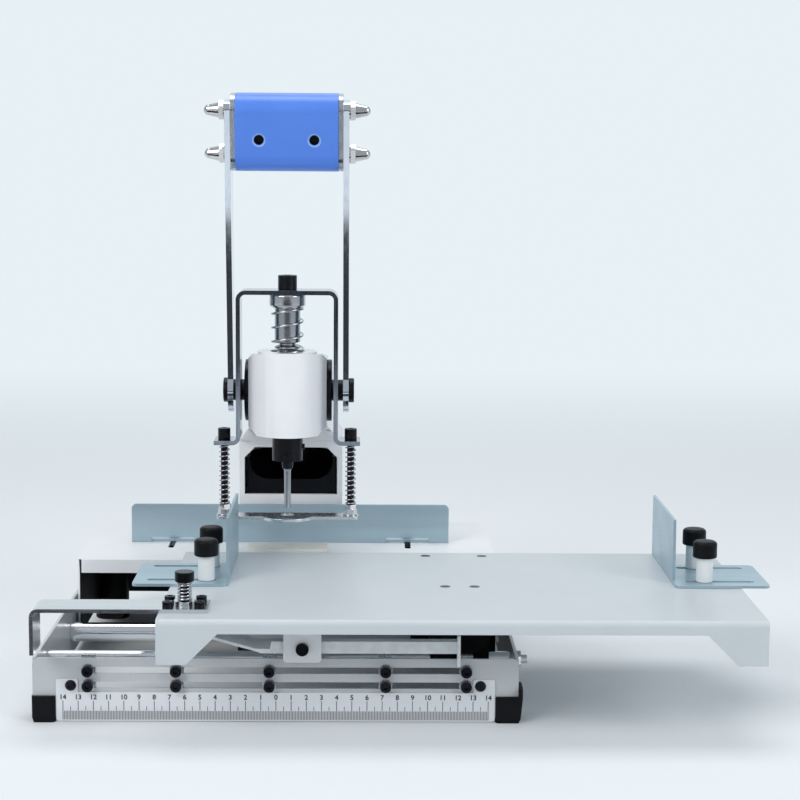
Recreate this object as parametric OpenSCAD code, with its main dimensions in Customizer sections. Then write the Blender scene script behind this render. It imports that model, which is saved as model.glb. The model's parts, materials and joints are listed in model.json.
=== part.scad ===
// Single-hole paper drill press with a sliding, indexed table.
// Origin on the ground straight below the drill axis, +X to the right, +Y to the back, +Z up.

/* [Base frame] */
// Outer width of the base frame
frame_w = 320; // [316:1:330]
// Height of the frame's top edge
frame_h = 42.6; // [42:0.1:43.5]
// Gap between the ground and the sheet's lower edge
frame_lift = 3; // [2:0.5:5]
// Sheet thickness of the frame, the housing and the brackets
sheet_t = 2; // [1.8:0.1:2.2]
// Distance from the drill axis forward to the front panel's face
front_reach = 185; // [180:1:190]
// Distance from the drill axis back to the rear edge
rear_reach = 137; // [134:1:145]
// Rounding of the front panel's top corners
panel_r = 4.5; // [2:0.5:6]
// Width of the two long slots in the front panel
slot_w = 4.4; // [4.3:0.1:4.8]
// Distance from the frame's side to the end of those slots
slot_end = 32; // [31.6:0.1:32.2]
// Height of the lower slot's centre line
slot_z = 24.6; // [24.6:0.1:25]
// Distance between the two slots
slot_gap = 10; // [9.6:0.1:10.2]

/* [Boots and ruler] */
// Width of a corner boot across the front
boot_w = 18; // [14:0.5:18]
// Depth of a corner boot from front to back
boot_d = 20; // [16:1:26]
// Height of a corner boot across the panel
boot_h = 17.4; // [12:0.2:20]
// Height of a boot's outer lip
boot_lip_h = 23; // [20:0.5:28]
// Draw-in of a boot's outer side at the ground
boot_draw = 2; // [0.5:0.1:3]
// Rubber outside the sheet
boot_wall = 3; // [2.5:0.1:4]
// Gap between the ruler and each boot
ruler_gap = 0.5; // [0.3:0.1:1.5]
// Height of the scale ruler
ruler_h = 19.5; // [16:0.1:19.5]
// Gap between the ground and the ruler
ruler_lift = 0.5; // [0.3:0.1:0.5]
// Thickness of the ruler
ruler_t = 1; // [0.8:0.1:1.2]
// Width of a raised end tab of the ruler
ruler_tab_w = 14.5; // [12:0.5:14.5]
// Rise of an end tab above the ruler
ruler_tab_h = 9; // [7:0.5:10]

/* [Index stops] */
// Places of the five stops as shares of the slots' half length
stop_at = [-0.964, -0.512, -0.034, 0.564, 0.979]; // [-0.97:0.001:0.982]
// Width of a stop block
stop_w = 9; // [7:0.5:10]
// Depth of a stop block behind the panel
stop_d = 5.5; // [4:0.1:5.8]
// Height of a stop block's top
stop_h = 44.4; // [43:0.1:44.6]
// Diameter of the stop screws' heads
stop_head_d = 7.4; // [6:0.1:7.6]
// Height of the stop screws' heads
stop_head_h = 4; // [3:0.1:4.5]

/* [Guide rods] */
// Height of the rear rod's centre line
rear_rod_z = 21; // [18:0.5:24]
// Height of the front rod's centre line
front_rod_z = 29.5; // [26:0.5:32]
// Diameter of the rear rod
rear_rod_d = 14; // [12:0.5:14]
// Distance of the rear rod behind the panel's face
rear_rod_back = 156; // [140:1:156]
// Diameter of the front rod
front_rod_d = 10; // [8:0.5:10]
// Distance of the front rod behind the panel's face
front_rod_back = 51; // [40:1:60]
// Diameter of the threaded rod ends
stud_d = 6; // [5:0.5:6]

/* [Rear housing and base] */
// Distance from the frame's side in to the housing's side
housing_inset = 4; // [3.5:0.1:5]
// Height of the housing's top
housing_h = 71.6; // [70:0.2:73]
// Distance from the drill axis forward to the housing's front
housing_front = 12; // [11:0.5:14]
// Depth of the housing's front lip
lip_h = 10; // [6:0.5:14]
// Height of the housing's side skirts above the ground
skirt_z = 14; // [12:1:24]
// Rounding of the housing's upright corners
housing_r = 6; // [4:0.5:8]
// Diameter of a rear leg
leg_d = 22; // [18:0.5:24]
// Distance of the rear legs behind the drill axis
leg_y = 106; // [90:1:118]
// Width of the pedestal under the column
pedestal_w = 74; // [72:1:90]
// Width of the cutting pad
pad_w = 60; // [40:1:70]
// Depth of the cutting pad
pad_d = 26; // [20:1:26]
// Height of the cutting pad
pad_h = 8.2; // [6:0.1:8.2]

/* [Column and head] */
// Width of the column
column_w = 80; // [78:1:81]
// Wall of the hollow column
column_wall = 4; // [3:0.5:5]
// Distance from the drill axis back to the column's front
column_front = 64; // [62:0.5:66]
// Depth of the column
column_d = 66; // [60:1:70]
// Height of the window's sill
window_low = 108; // [104:1:112]
// Height of the window's top
window_high = 145; // [138:1:146]
// Slant of the window's upper corners
window_slant = 8; // [2:0.5:10]
// Width of the head
head_w = 58; // [56:0.5:58]
// Height of the head's underside
head_low = 164.5; // [164:0.1:165]
// Height of the head's top
head_high = 227; // [226:0.1:229]
// Diameter of the round front of the head
bulge_d = 44; // [40:0.5:46]
// Half width of the nose between the head's slanted front corners
nose_w = 17.6; // [15:0.2:19]
// Rise of the head's slanted lower corners
head_slant = 6.5; // [6:0.5:10]
// Step from the boss round the spindle down to the casting's crown
crown_drop = 2; // [1:0.5:3]
// Fall of the crown towards the rear, in degrees
crown_fall = 8; // [5:0.5:9]
// Chamfer along both sides of the crown
crown_edge = 3.5; // [2:0.5:4]
// Height where the column's shoulders start
shoulder_low = 150; // [149:0.5:155]
// Height where the shoulders meet the head
shoulder_high = 168; // [164:0.5:170]

/* [Lever] */
// Height of the lever's pivot
pivot_z = 194.5; // [194:0.1:195]
// Forward lean of the lever at rest, in degrees
lean = 8.5; // [0:0.5:12]
// Width of a lever arm
arm_w = 25; // [20:0.5:28]
// Thickness of a lever arm
arm_t = 4.2; // [4:0.1:6]
// Inner distance between the arms
arm_gap = 82; // [80:0.5:88]
// Radius of an arm's lower end
arm_end_r = 17; // [14:0.5:18]
// Distance from the pivot to an arm's top
arm_l = 218; // [210:1:226]
// Distance from the pivot to the middle of the grip
grip_at = 195; // [186:0.5:196]
// Width of the grip
grip_w = 74.6; // [70:0.2:76]
// Height of the grip
grip_h = 55.5; // [50:0.5:60]
// Depth of the grip
grip_d = 36; // [30:0.5:40]
// Rounding of the grip's edges
grip_r = 13; // [6:0.5:14]
// Distance between the two grip bolts
grip_bolt_gap = 31.6; // [28:0.2:34]
// Diameter of the grip bolts
grip_bolt_d = 6; // [5:0.5:7]
// Width of the steel end plates
end_plate_w = 30; // [24:0.5:32]
// Diameter of the pinion shaft
shaft_d = 16; // [14:0.5:16.5]
// Diameter of the pivot caps
cap_d = 18.5; // [16:0.5:22]
// Height of the pivot caps
cap_h = 4; // [3:0.5:6]
// Diameter of the bearing flanges
flange_d = 46.5; // [45.5:0.5:48]
// Height of the bearing flanges
flange_h = 3.5; // [2:0.1:3.8]

/* [Rack and pinion] */
// Module of the teeth
tooth_m = 1.5; // [1.5:0.01:1.51]
// Teeth on the pinion
pinion_teeth = 26; // [26:1:26]
// Width of the pinion
pinion_w = 24; // [16:1:25]
// Thinning of each tooth, for play in the mesh
tooth_play = 0.16; // [0.12:0.01:0.25]
// Swing of the lever from rest, in degrees
swing = 85; // [80:1:85]

/* [Spindle and yoke] */
// Diameter of the spindle
spindle_d = 19; // [19:0.01:19.02]
// Diameter of the collar under the yoke
collar_d = 27; // [24:0.5:30]
// Height of the collar
collar_h = 10; // [8:0.5:12]
// Height of the yoke's top
yoke_top = 272.4; // [270:0.2:276]
// Outer width of the yoke
yoke_w = 75; // [75:0.5:77]
// Width of the yoke's strap from front to back
yoke_d = 25; // [20:0.5:28]
// Thickness of the yoke's strap
yoke_t = 3.2; // [3:0.1:4]
// Height of the yoke's feet underneath
yoke_low = 158; // [156:0.5:160]
// Inner radius of the bends at the yoke's feet
foot_r = 3; // [1.5:0.5:4]
// Width across the yoke's feet
yoke_foot_w = 108; // [106:1:112]
// Diameter of the yoke screw's head
yoke_screw_d = 14; // [12:0.5:16]
// Height of the yoke screw's head
yoke_screw_h = 10.6; // [8:0.2:12]
// Diameter of the chuck
chuck_d = 22.7; // [20:0.1:25]
// Height of the chuck's lower face
chuck_low = 145.4; // [144:0.2:148]
// Length of the chuck
chuck_l = 17.6; // [16:0.2:18]
// Diameter of the collet nut
collet_d = 8.6; // [8.2:0.1:11]
// Height of the collet nut
collet_h = 6.4; // [4:0.1:7]
// Diameter of the hollow bit
bit_d = 4.9; // [4:0.1:6]
// Height of the bit's tip at rest
bit_tip = 109.1; // [109.1:0.1:111]
// Outer diameter of the return spring
return_od = 24.6; // [24.4:0.1:25.4]
// Wire of the return spring
return_wire = 1.5; // [1.2:0.1:1.6]
// Turns of the return spring
return_turns = 3.625; // [3:0.125:4]

/* [Presser] */
// Distance of each presser rod from the drill axis
presser_x = 47; // [46:0.5:48]
// Diameter of the presser rods
presser_rod_d = 5.2; // [4.5:0.1:5.4]
// Diameter of the presser rods' heads
presser_head_d = 9.2; // [8:0.1:10]
// Height of the presser rods' heads
presser_head_h = 8; // [6:0.5:9]
// Height of the presser plate's underside at rest
presser_low = 101.5; // [101.5:0.1:102]
// Thickness of the presser plate
presser_t = 2.5; // [2:0.1:3]
// Width across the presser plate
presser_w = 106; // [104:1:110]
// Depth of the presser plate's ends
presser_d = 16; // [12:0.5:17]
// Diameter of the presser plate's round front
presser_round = 40; // [30:1:44]
// Outer diameter of the presser springs
presser_od = 8.2; // [8.1:0.1:8.5]
// Wire of the presser springs
presser_wire = 1; // [0.8:0.1:1]
// Turns of the presser springs
presser_turns = 12; // [8:1:14]
// Height of a presser nut
presser_nut_h = 3.5; // [3:0.1:4]

/* [Table] */
// Middle of the table at rest, inward from the frame's right side
table_inset = 39.4; // [39:0.1:41]
// Width of the table
table_w = 389; // [380:1:400]
// Overhang of the table in front of the panel
table_overhang = 47.6; // [44:0.2:54]
// Distance from the drill axis forward to the table's rear edge
table_rear = 22.7; // [22:0.1:26]
// Height of the table's top
table_z = 80; // [79.5:0.1:80]
// Thickness of the table's sheet
table_t = 1.8; // [1.5:0.1:2]
// Outer radius of the table's front bend
bend_r = 4; // [3:0.2:5]
// Height of the front apron
apron_h = 9; // [6:0.5:12]
// Height of the apron at its two ends
ear_h = 29; // [24:0.5:32]
// Flat width of the apron's ends
ear_w = 19; // [14:0.5:26]
// Width of the bearing block
block_w = 62; // [50:1:62]
// Bearing block's middle, right of the table's middle
block_off = 2.4; // [0:0.2:2.4]
// Depth of the bearing block
block_d = 28; // [26:1:34]
// Height of the bearing block's underside
block_low = 8; // [6:0.5:9]
// Outer diameter of the linear bushes
bush_od = 20; // [18:0.5:22]
// Length of a linear bush
bush_l = 24; // [16:1:30]

/* [Handle and index] */
// Length of the handle strap
strap_l = 114; // [100:0.5:120]
// Width of the handle strap
strap_w = 28; // [24:0.5:30]
// Thickness of the handle strap
strap_t = 2.5; // [2:0.1:3]
// Overlap of the strap on the table
strap_lap = 31.4; // [28:0.2:36]
// Middle of the strap, in front of the panel's face
strap_out = 15.5; // [15:0.1:18]
// Outer radius of the strap's bend
strap_r = 5.5; // [4:0.5:9]
// Drop of the strap's bent end below the table top
strap_drop = 28; // [20:0.5:33]
// Diameter of the pad under the strap
grip_pad_d = 17; // [12:0.5:22]
// Thickness of the pad under the strap
grip_pad_h = 5.5; // [3:0.5:7]
// Diameter of the index button's head
button_d = 12.6; // [11.5:0.2:14]
// Height of the button's head
button_h = 6.5; // [5:0.5:8]
// Height of the button's top above the table
button_top = 24.5; // [24:0.1:26]
// Diameter of the button's stem
button_stem_d = 6; // [5:0.2:6.4]
// Outer diameter of the button spring
button_od = 10; // [9.4:0.1:10.6]
// Wire of the button spring
button_wire = 1.2; // [0.8:0.1:1.2]
// Turns of the button spring
button_turns = 5; // [4:1:5]
// Pivot of the index rocker, right of the table's left end
rocker_in = 91.4; // [90:0.2:94]
// Height of the rocker's pivot
rocker_z = 51; // [51:0.1:52]
// Height of the rocker bar
rocker_h = 8; // [7:0.5:8]
// Depth of the rocker bar
rocker_d = 8; // [6:0.5:8]
// Reach of the rocker bar to the right of its pivot
rocker_right = 103.5; // [98:0.5:104]
// Reach of the rocker bar to the left of its pivot
rocker_left = 28.5; // [26:0.5:30]
// Height of the index finger's lower end
finger_low = 39.8; // [39.5:0.1:41]

/* [Guides] */
// Inner face of the left fence at rest, inward from the table's left end
left_fence_in = 38.9; // [38:0.1:40]
// Inner face of the right fence at rest, inward from the table's right end
right_fence_in = 45.1; // [44:0.1:46]
// Length of a guide plate outward from its fence
guide_l = 65; // [64:0.5:70]
// Distance from the drill axis forward to a guide plate's front edge
guide_front = 138; // [134:0.5:142]
// Depth of a guide plate
guide_d = 67; // [66:0.5:72]
// Height of the fences above the table
fence_h = 44.5; // [36:0.5:48]
// Distance from the drill axis forward to a fence's front end
fence_front = 122; // [116:0.5:126]
// Distance from the drill axis forward to a fence's rear end
fence_rear = 25; // [24:0.5:30]
// Distance of each clamp knob from the table's end
knob_in = 23.5; // [22.5:0.1:25]
// Distance of the front knobs in front of the drill axis
knob_front = 125; // [123:0.5:126]
// Distance between a front and a rear knob
knob_gap = 44; // [42:0.5:46]
// Diameter of a knob's cap
knob_d = 16.5; // [14:0.5:18]
// Height of a knob's cap
knob_h = 12; // [9:0.5:14]
// Diameter of a clamp sleeve
sleeve_d = 11.5; // [10:0.5:13]
// Height of a clamp sleeve
sleeve_h = 17; // [14:0.5:20]
// Diameter of a clamp stud
clamp_d = 5; // [4.5:0.1:5]

/* [Back gauge] */
// Width of the back gauge
gauge_w = 246; // [230:1:250]
// Distance from the drill axis back to the gauge's face at rest
gauge_face = 54.5; // [54:0.5:56]
// Height of the gauge's top
gauge_top = 101.7; // [96:0.1:103]
// Depth of the gauge's two feet behind its wall
gauge_foot = 22; // [18:0.5:26]
// Half width of the gap between the feet, for the column
gauge_notch = 52; // [44:1:60]
// Distance of each clamp slot from the middle
gauge_slot_x = 91; // [84:1:96]
// Travel of the gauge towards the front
gauge_travel = 32; // [24:1:32]

/* [Fits] */
// Gap between faces that slide on each other
slide_fit = 0.06; // [0.05:0.01:0.1]
// Radial gap of a turning or sliding round fit
run_fit = 0.05; // [0.03:0.01:0.08]
// Radial gap of a seat within one assembly
seat_fit = 0.02; // [0.01:0.01:0.03]
// Clear gap between pieces that pass each other
pass_gap = 0.6; // [0.4:0.1:1]

/* [Hidden] */
$fn = 48;
half_w = frame_w / 2;
inner_w = half_w - sheet_t;
slot_reach = half_w - slot_end;
housing_w = frame_w - 2 * housing_inset;
table_x = half_w - table_inset;
table_front = front_reach + table_overhang;
knob_x = table_w / 2 - knob_in;
front_y = -front_reach;
panel_back = front_y + sheet_t;
slots_z = [slot_z, slot_z + slot_gap];
boot_inner = half_w + boot_wall - boot_w;
ruler_w = 2 * (boot_inner - ruler_gap);
stop_x = [for (share = stop_at) share * slot_reach];
ruler_face = front_y - ruler_t;
ruler_screw_x = ruler_w / 2 - ruler_tab_w * 2 / 3;
ruler_top = ruler_lift + ruler_h;
ruler_screw_z = ruler_top + ruler_tab_h / 2;

// Button screws
screw_d = 4;
screw_head_d = 7.5;
screw_head_h = 2.2;
screw_nut_h = 3;
socket_head_d = 7;
socket_head_h = 4;
washer_t = 1;
socket_depth = 2;
socket_af = 3.4;

rear_rod_y = front_y + rear_rod_back;
front_rod_y = front_y + front_rod_back;
stud_l = 9.5;
rod_washer_t = 1.2;
rod_washer_d = 12;
rod_nut_af = 10;
rod_nut_h = 4;

housing_y = -housing_front;
housing_in = housing_w / 2 - sheet_t;
housing_under = housing_h - sheet_t;
pedestal_front = housing_y + 2 * sheet_t;
leg_x = housing_in - leg_d / 2;
side_screw_z = 30;
wall_back = 47;
wall_screw_y = 20;
bolt_inset = 10;
column_back = column_front + column_d;
bolt_x = column_w / 2 - bolt_inset;
bolt_y = [column_front + bolt_inset, column_back - bolt_inset];
bolt_d = 6;
bolt_head_d = 10.6;
bolt_head_h = 3.4;
boss_d = 2 * (bolt_inset - column_wall) + 2;
boss_h = 24;
bolt_sink = 4;
cavity_w = column_w - 2 * column_wall;
cavity_top = window_high + 1;
guard_gap = 1.5;
guard_t = 2;
guard_low = housing_h + boss_h;
scoop_low = 119;
scoop_r = 14;
guard_high = window_high - window_slant;

// Rack and pinion
pitch_r = tooth_m * pinion_teeth / 2;
rack_r = spindle_d / 2 - tooth_m;
pivot_y = pitch_r + rack_r;
tip_r = pitch_r + tooth_m;
root_r = pitch_r - 1.25 * tooth_m;
pressure = 20;
base_r = pitch_r * cos(pressure);
cross_d = 2 * (tip_r + 0.5);
plug_in = pinion_w / 2 + 1;
stroke = pitch_r * swing * PI / 180;
rack_low = pivot_z - 10;
rack_pitches = ceil((stroke + 20) / (PI * tooth_m));
key_w = 4;
flat_w = 9;
shaft_end_d = 12;

bush_ring_d = 24;
bush_low_h = 7.5;
cross_top = pivot_z + cross_d / 2;
bush_top_low = cross_top + 0.4;
recess_h = 6;
recess_d = return_od + 1;
nose_y = -sqrt(pow(bulge_d / 2, 2) - nose_w * nose_w);
crown_high = head_high - crown_drop;
bush_top_high = head_high - recess_h;
yoke_under = yoke_top - yoke_t;
collar_top = yoke_under - slide_fit;
collar_low = collar_top - collar_h;
chuck_top = chuck_low + chuck_l;
spigot_d = 12;
spigot_l = 5;
shank_d = 7;
shank_l = 11;
taper_d = 6.6;
taper_l = 2;
bit_bore = 3.6;
yoke_bolt_d = 10;
yoke_bolt_l = 20;

// Presser and its springs
presser_top = presser_low + presser_t;
presser_nut_af = 8.5;
presser_washer_d = 11;
presser_seat = presser_top + washer_t + 2 * presser_nut_h;
yoke_seat = yoke_low + yoke_t;
bit_hole = 10;

table_left = table_x - table_w / 2;
table_under = table_z - table_t;
left_fence_x = table_left + left_fence_in;
right_fence_x = table_left + table_w - right_fence_in;
rocker_x = table_left + rocker_in;
block_x = table_x + block_off;
slider_w = 40;
slider_d = 14;
web_front = rear_rod_y - block_d / 2;
web_back = -table_rear - 1.3;
web_low = rear_rod_z + block_d / 2;
strap_x = table_left + strap_lap - strap_l;
strap_top = table_z + strap_t;
strap_y = front_y - strap_out;
button_x = table_left + strap_lap / 2;
strap_screw_dx = 10.25;
strap_screw_dy = 7.5;
ring_d = 14;
ring_h = 3;
button_seat = strap_top + ring_h;
button_under = table_z + button_top - button_h;
flat_head_d = 7.4;

// Rocker, its bracket and its strip
rocker_front = front_y - 3;
rocker_low = rocker_z - rocker_h / 2;
rocker_high = rocker_z + rocker_h / 2;
strip_t = 2;
strip_front = strap_y - 6.5;
strip_top = 66;
strip_flat = 8;
finger_t = 2;
finger_d = 8;
finger_top = 60;
bracket_w = 25;
bracket_low = 41.8;
bracket_gap = 2;
bracket_y = rocker_front - bracket_gap - sheet_t;
bracket_foot = 20;
pivot_d = 5;
pivot_head_d = 8.5;
pivot_head_h = 3;

// Guides and knobs
guide_z = table_z + slide_fit;
guide_top = guide_z + sheet_t;
sleeve_z = guide_top + slide_fit;
knob_z = sleeve_z + sleeve_h + slide_fit;
knob_ys = [-knob_front, -knob_front + knob_gap];
guide_slot_w = clamp_d + 0.4;
guide_slot_in = 9;
guide_slot_out = 56;
weld_nut_h = 4;

gauge_z = housing_h + slide_fit;
gauge_stud_y = gauge_face + sheet_t + gauge_foot / 2;
gauge_stud_d = 4;
gauge_slot_w = 4.6;
gauge_relief_w = 33;
gauge_relief_h = 4;

// Round bars along each axis, from a start and a length
module bar_x(x, l, d) translate([x, 0, 0]) rotate([0, 90, 0]) cylinder(d = d, h = l);
module bar_y(y, l, d) translate([0, y, 0]) rotate([-90, 0, 0]) cylinder(d = d, h = l);
module bar_z(z, l, d) translate([0, 0, z]) cylinder(d = d, h = l);

// A front view (X, Z) drawn upright from y over depth d, and a side view (Y, Z) drawn from x over width w
module upright(y, d) translate([0, y + d, 0]) rotate([90, 0, 0]) linear_extrude(d) children();
module sideways(x, w) translate([x, 0, 0]) rotate([90, 0, 90]) linear_extrude(w) children();

// A block from its lowest corner to its highest
module block(a, b) translate(a) cube(b - a);

// A rectangle from (x, y) with round corners
module rounded(x, y, w, h, r) {
    translate([x + r, y]) square([w - 2 * r, h]);
    translate([x, y + r]) square([w, h - 2 * r]);
    for (cx = [x + r, x + w - r], cy = [y + r, y + h - r]) translate([cx, cy]) circle(r);
}

// A long hole with round ends between two points on a level line
module slot2d(x0, x1, y, w) {
    translate([x0 + w / 2, y - w / 2]) square([x1 - x0 - w, w]);
    for (x = [x0 + w / 2, x1 - w / 2]) translate([x, y]) circle(d = w);
}

module hex_bar(af, h) cylinder(d = af / cos(30), h = h, $fn = 6);

module both_sides() {
    children();
    mirror([1, 0, 0]) children();
}

// A socket screw that points down from z = 0, with its head above
module socket_screw(d, l, head_d, head_h) {
    difference() {
        union() {
            bar_z(-l, l, d);
            bar_z(0, head_h, head_d);
        }
        translate([0, 0, head_h - socket_depth]) hex_bar(socket_af, socket_depth + 1);
    }
}

// A button screw that points down from z = 0 and ends in a nut, if nut_at gives the nut's upper face
module button_screw(l, nut_at = 0) {
    bar_z(-l, l, screw_d);
    difference() {
        cylinder(d1 = screw_head_d, d2 = screw_head_d - screw_head_h, h = screw_head_h);
        translate([0, 0, screw_head_h / 2]) hex_bar(socket_af - 1, screw_head_h);
    }
    if (nut_at > 0) translate([0, 0, -nut_at - screw_nut_h]) hex_bar(screw_head_d - 0.5, screw_nut_h);
}

// A spring's centre line: an upright end, the turns and another upright end
function spring_path(r, z0, z1, turns, wire) =
    let (n = round(turns * 8), low = z0 + wire, rise = (z1 - z0 - 2 * wire) / n)
    concat(
        [[r, 0, z0]],
        [for (i = [0 : n]) [r * cos(45 * i), r * sin(45 * i), low + rise * i]],
        [[r * cos(45 * n), r * sin(45 * n), z1]]
    );

function unit(v) = v / norm(v);

// One ring of a tube of six sides, square to the path at its point i
function ring(path, i, wire) =
    let (
        last = len(path) - 1,
        before = i > 0 ? unit(path[i] - path[i - 1]) : unit(path[1] - path[0]),
        after = i < last ? unit(path[i + 1] - path[i]) : before,
        along = unit(before + after),
        out = [path[i].x, path[i].y, 0],
        side = unit(out - along * (out * along)),
        third = cross(along, side)
    )
    [for (k = [0 : 5]) path[i] + wire / 2 * (side * cos(60 * k) + third * sin(60 * k))];

module spring(r, z0, z1, turns, wire, label) {
    path = spring_path(r, z0, z1, turns, wire);
    n = len(path);
    gaps = [for (i = [1 : n - 2], j = [i + 5 : 1 : n - 2]) norm(path[i] - path[j]) - wire];
    echo(str("least gap in ", label, " in mm"), min(gaps));
    points = [for (i = [0 : n - 1]) each ring(path, i, wire)];
    walls = [
        for (i = [0 : n - 2], k = [0 : 5])
        let (a = 6 * i + k, b = 6 * i + (k + 1) % 6)
        each [[a, a + 6, b], [b, a + 6, b + 6]]
    ];
    ends = [for (k = [1 : 4]) each [[0, k, k + 1], [6 * n - 6, 6 * n - 6 + k + 1, 6 * n - 6 + k]]];
    polyhedron(points, concat(walls, ends));
}

// Base

module base_frame() {
    color("whitesmoke") difference() {
        union() {
            upright(front_y, sheet_t) difference() {
                union() {
                    rounded(-half_w, frame_lift, frame_w, frame_h - frame_lift, panel_r);
                    translate([-half_w, frame_lift]) square([frame_w, frame_h - frame_lift - panel_r]);
                }
                for (z = slots_z) slot2d(-slot_reach, slot_reach, z, slot_w);
            }
            for (x = [-half_w, inner_w])
                block([x, panel_back, frame_lift], [x + sheet_t, wall_back, frame_h]);
        }
        for (at = [[rear_rod_y, rear_rod_z], [front_rod_y, front_rod_z]]) translate([0, at[0], at[1]])
            bar_x(-half_w - 1, frame_w + 2, stud_d + 2 * seat_fit);
        translate([0, wall_screw_y, side_screw_z])
            bar_x(-half_w - 1, frame_w + 2, screw_d + 2 * seat_fit);
        for (x = [-ruler_screw_x, ruler_screw_x]) translate([x, 0, ruler_screw_z])
            bar_y(front_y - 1, sheet_t + 2, screw_d + 2 * seat_fit);
    }
}

module front_boots() {
    color("#1b1b1d") {
        boot(boot_wall, boot_lip_h);
        mirror([1, 0, 0]) boot(boot_wall / 6, boot_h);
    }
}

// A right-hand boot with that much rubber outside the frame's side, drawn in towards the ground
module boot(wall, lip_h) {
    outer = half_w + wall;
    y0 = front_y - boot_wall;
    w = outer - boot_inner;
    round_r = boot_wall - 0.5;
    difference() {
        union() {
            linear_extrude(boot_h) rounded(boot_inner, y0, w, boot_d, round_r);
            if (lip_h > boot_h) translate([0, 0, boot_h]) linear_extrude(lip_h - boot_h) intersection() {
                rounded(boot_inner, y0, w, boot_d, round_r);
                translate([half_w, y0]) square([wall, boot_d]);
            }
        }
        block([inner_w, front_y, frame_lift], [half_w, y0 + boot_d + 1, boot_lip_h + 1]);
        block([boot_inner - 1, front_y, frame_lift], [half_w, panel_back, boot_lip_h + 1]);
        upright(y0 - 1, boot_d + 2) polygon([
            [outer - boot_draw - wall / 2, -1], [outer + 1, -1], [outer + 1, boot_h], [outer, boot_h],
            [outer - wall / 2, frame_lift]
        ]);
    }
}

module anvil_base() {
    color("#26272a") difference() {
        block([-pedestal_w / 2, pedestal_front, 0], [pedestal_w / 2, column_back, housing_under]);
        for (x = [-bolt_x, bolt_x], y = bolt_y) translate([x, y, 0]) {
            bar_z(-1, housing_under + 2, bolt_d + 2 * seat_fit);
            bar_z(-1, bolt_sink + 1, bolt_head_d + 2 * seat_fit);
        }
    }
}

module rear_legs() {
    color("#1d1e20") both_sides() difference() {
        translate([leg_x, leg_y, 0]) bar_z(0, housing_under, leg_d);
        translate([0, leg_y, side_screw_z])
            bar_x(housing_in - screw_d * 2, screw_d * 2 + 1, screw_d + 2 * seat_fit);
    }
}

module rear_housing() {
    w = housing_w;
    d = rear_reach - housing_y;
    color("white") difference() {
        translate([0, 0, skirt_z]) linear_extrude(housing_h - skirt_z)
            rounded(-w / 2, housing_y, w, d, housing_r);
        translate([0, 0, skirt_z - 1]) linear_extrude(housing_under - skirt_z + 1)
            rounded(-housing_in, housing_y + sheet_t, 2 * housing_in, d - 2 * sheet_t, housing_r - sheet_t);
        block([-housing_in, housing_y - 1, skirt_z - 1], [housing_in, pedestal_front, housing_h - lip_h]);
        for (x = [-bolt_x, bolt_x], y = bolt_y) translate([x, y, 0])
            bar_z(housing_under - 1, sheet_t + 2, bolt_d + 2 * seat_fit);
        for (x = [-gauge_slot_x, gauge_slot_x])
            translate([0, 0, housing_under - 1]) linear_extrude(sheet_t + 2)
            rotate(90) slot2d(
                gauge_stud_y - gauge_travel - gauge_slot_w / 2, gauge_stud_y + gauge_slot_w / 2, -x, gauge_slot_w
            );
        for (y = [wall_screw_y, leg_y]) translate([0, y, side_screw_z])
            bar_x(-w, 2 * w, screw_d + 2 * seat_fit);
    }
}

module frame_screws() {
    color("#2a2a2c") {
        both_sides() {
            translate([half_w, wall_screw_y, side_screw_z]) rotate([0, 90, 0]) {
                button_screw(half_w - housing_in + screw_nut_h, half_w - housing_in);
                bar_z(-half_w + housing_w / 2, inner_w - housing_w / 2, screw_d * 2);
            }
            translate([housing_w / 2, leg_y, side_screw_z]) rotate([0, 90, 0])
                button_screw(sheet_t + screw_d * 2);
        }
        for (x = [-ruler_screw_x, ruler_screw_x]) translate([x, ruler_face, ruler_screw_z])
            rotate([90, 0, 0]) button_screw(ruler_t + sheet_t + screw_nut_h, ruler_t + sheet_t);
    }
}

module scale_ruler() {
    color("silver") difference() {
        upright(ruler_face, ruler_t) union() {
            rounded(-ruler_w / 2, ruler_lift, ruler_w, ruler_h, 1.5);
            for (x = [-ruler_w / 2, ruler_w / 2 - ruler_tab_w])
                rounded(x, ruler_lift, ruler_tab_w, ruler_h + ruler_tab_h, 1.5);
        }
        for (x = [-ruler_screw_x, ruler_screw_x]) translate([x, 0, ruler_screw_z])
            bar_y(ruler_face - 1, ruler_t + 2, screw_d + 2 * seat_fit);
    }
}

module guide_rod(y, z, d, stud) {
    color("lightsteelblue") translate([0, y, z]) {
        bar_x(-inner_w, 2 * inner_w, d);
        bar_x(-half_w, frame_w + stud, stud_d);
    }
}
module rear_guide_rod() guide_rod(rear_rod_y, rear_rod_z, rear_rod_d, 0);
module front_guide_rod() guide_rod(front_rod_y, front_rod_z, front_rod_d, stud_l);

module rod_end_nuts() {
    color("#303236") translate([half_w, front_rod_y, front_rod_z])
        rotate([0, 90, 0]) difference() {
            union() {
                bar_z(0, rod_washer_t, rod_washer_d);
                translate([0, 0, rod_washer_t]) hex_bar(rod_nut_af, rod_nut_h);
            }
            bar_z(-1, rod_nut_h + rod_washer_t + 2, stud_d + 2 * seat_fit);
        }
}

module cutting_pad() {
    color("ivory") translate([0, 0, housing_h]) linear_extrude(pad_h)
        rounded(-pad_w / 2, -pad_d / 2, pad_w, pad_d, 3);
}

module column_bolts() {
    color("#3a3b3f") for (x = [-bolt_x, bolt_x], y = bolt_y) translate([x, y, bolt_sink]) {
        bar_z(-bolt_head_h, bolt_head_h, bolt_head_d);
        bar_z(0, housing_h + boss_h - 2 * bolt_sink, bolt_d);
    }
}

// Height of the casting's crown at a distance behind the drill axis
function crown(y) = crown_high - y * tan(crown_fall);

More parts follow.
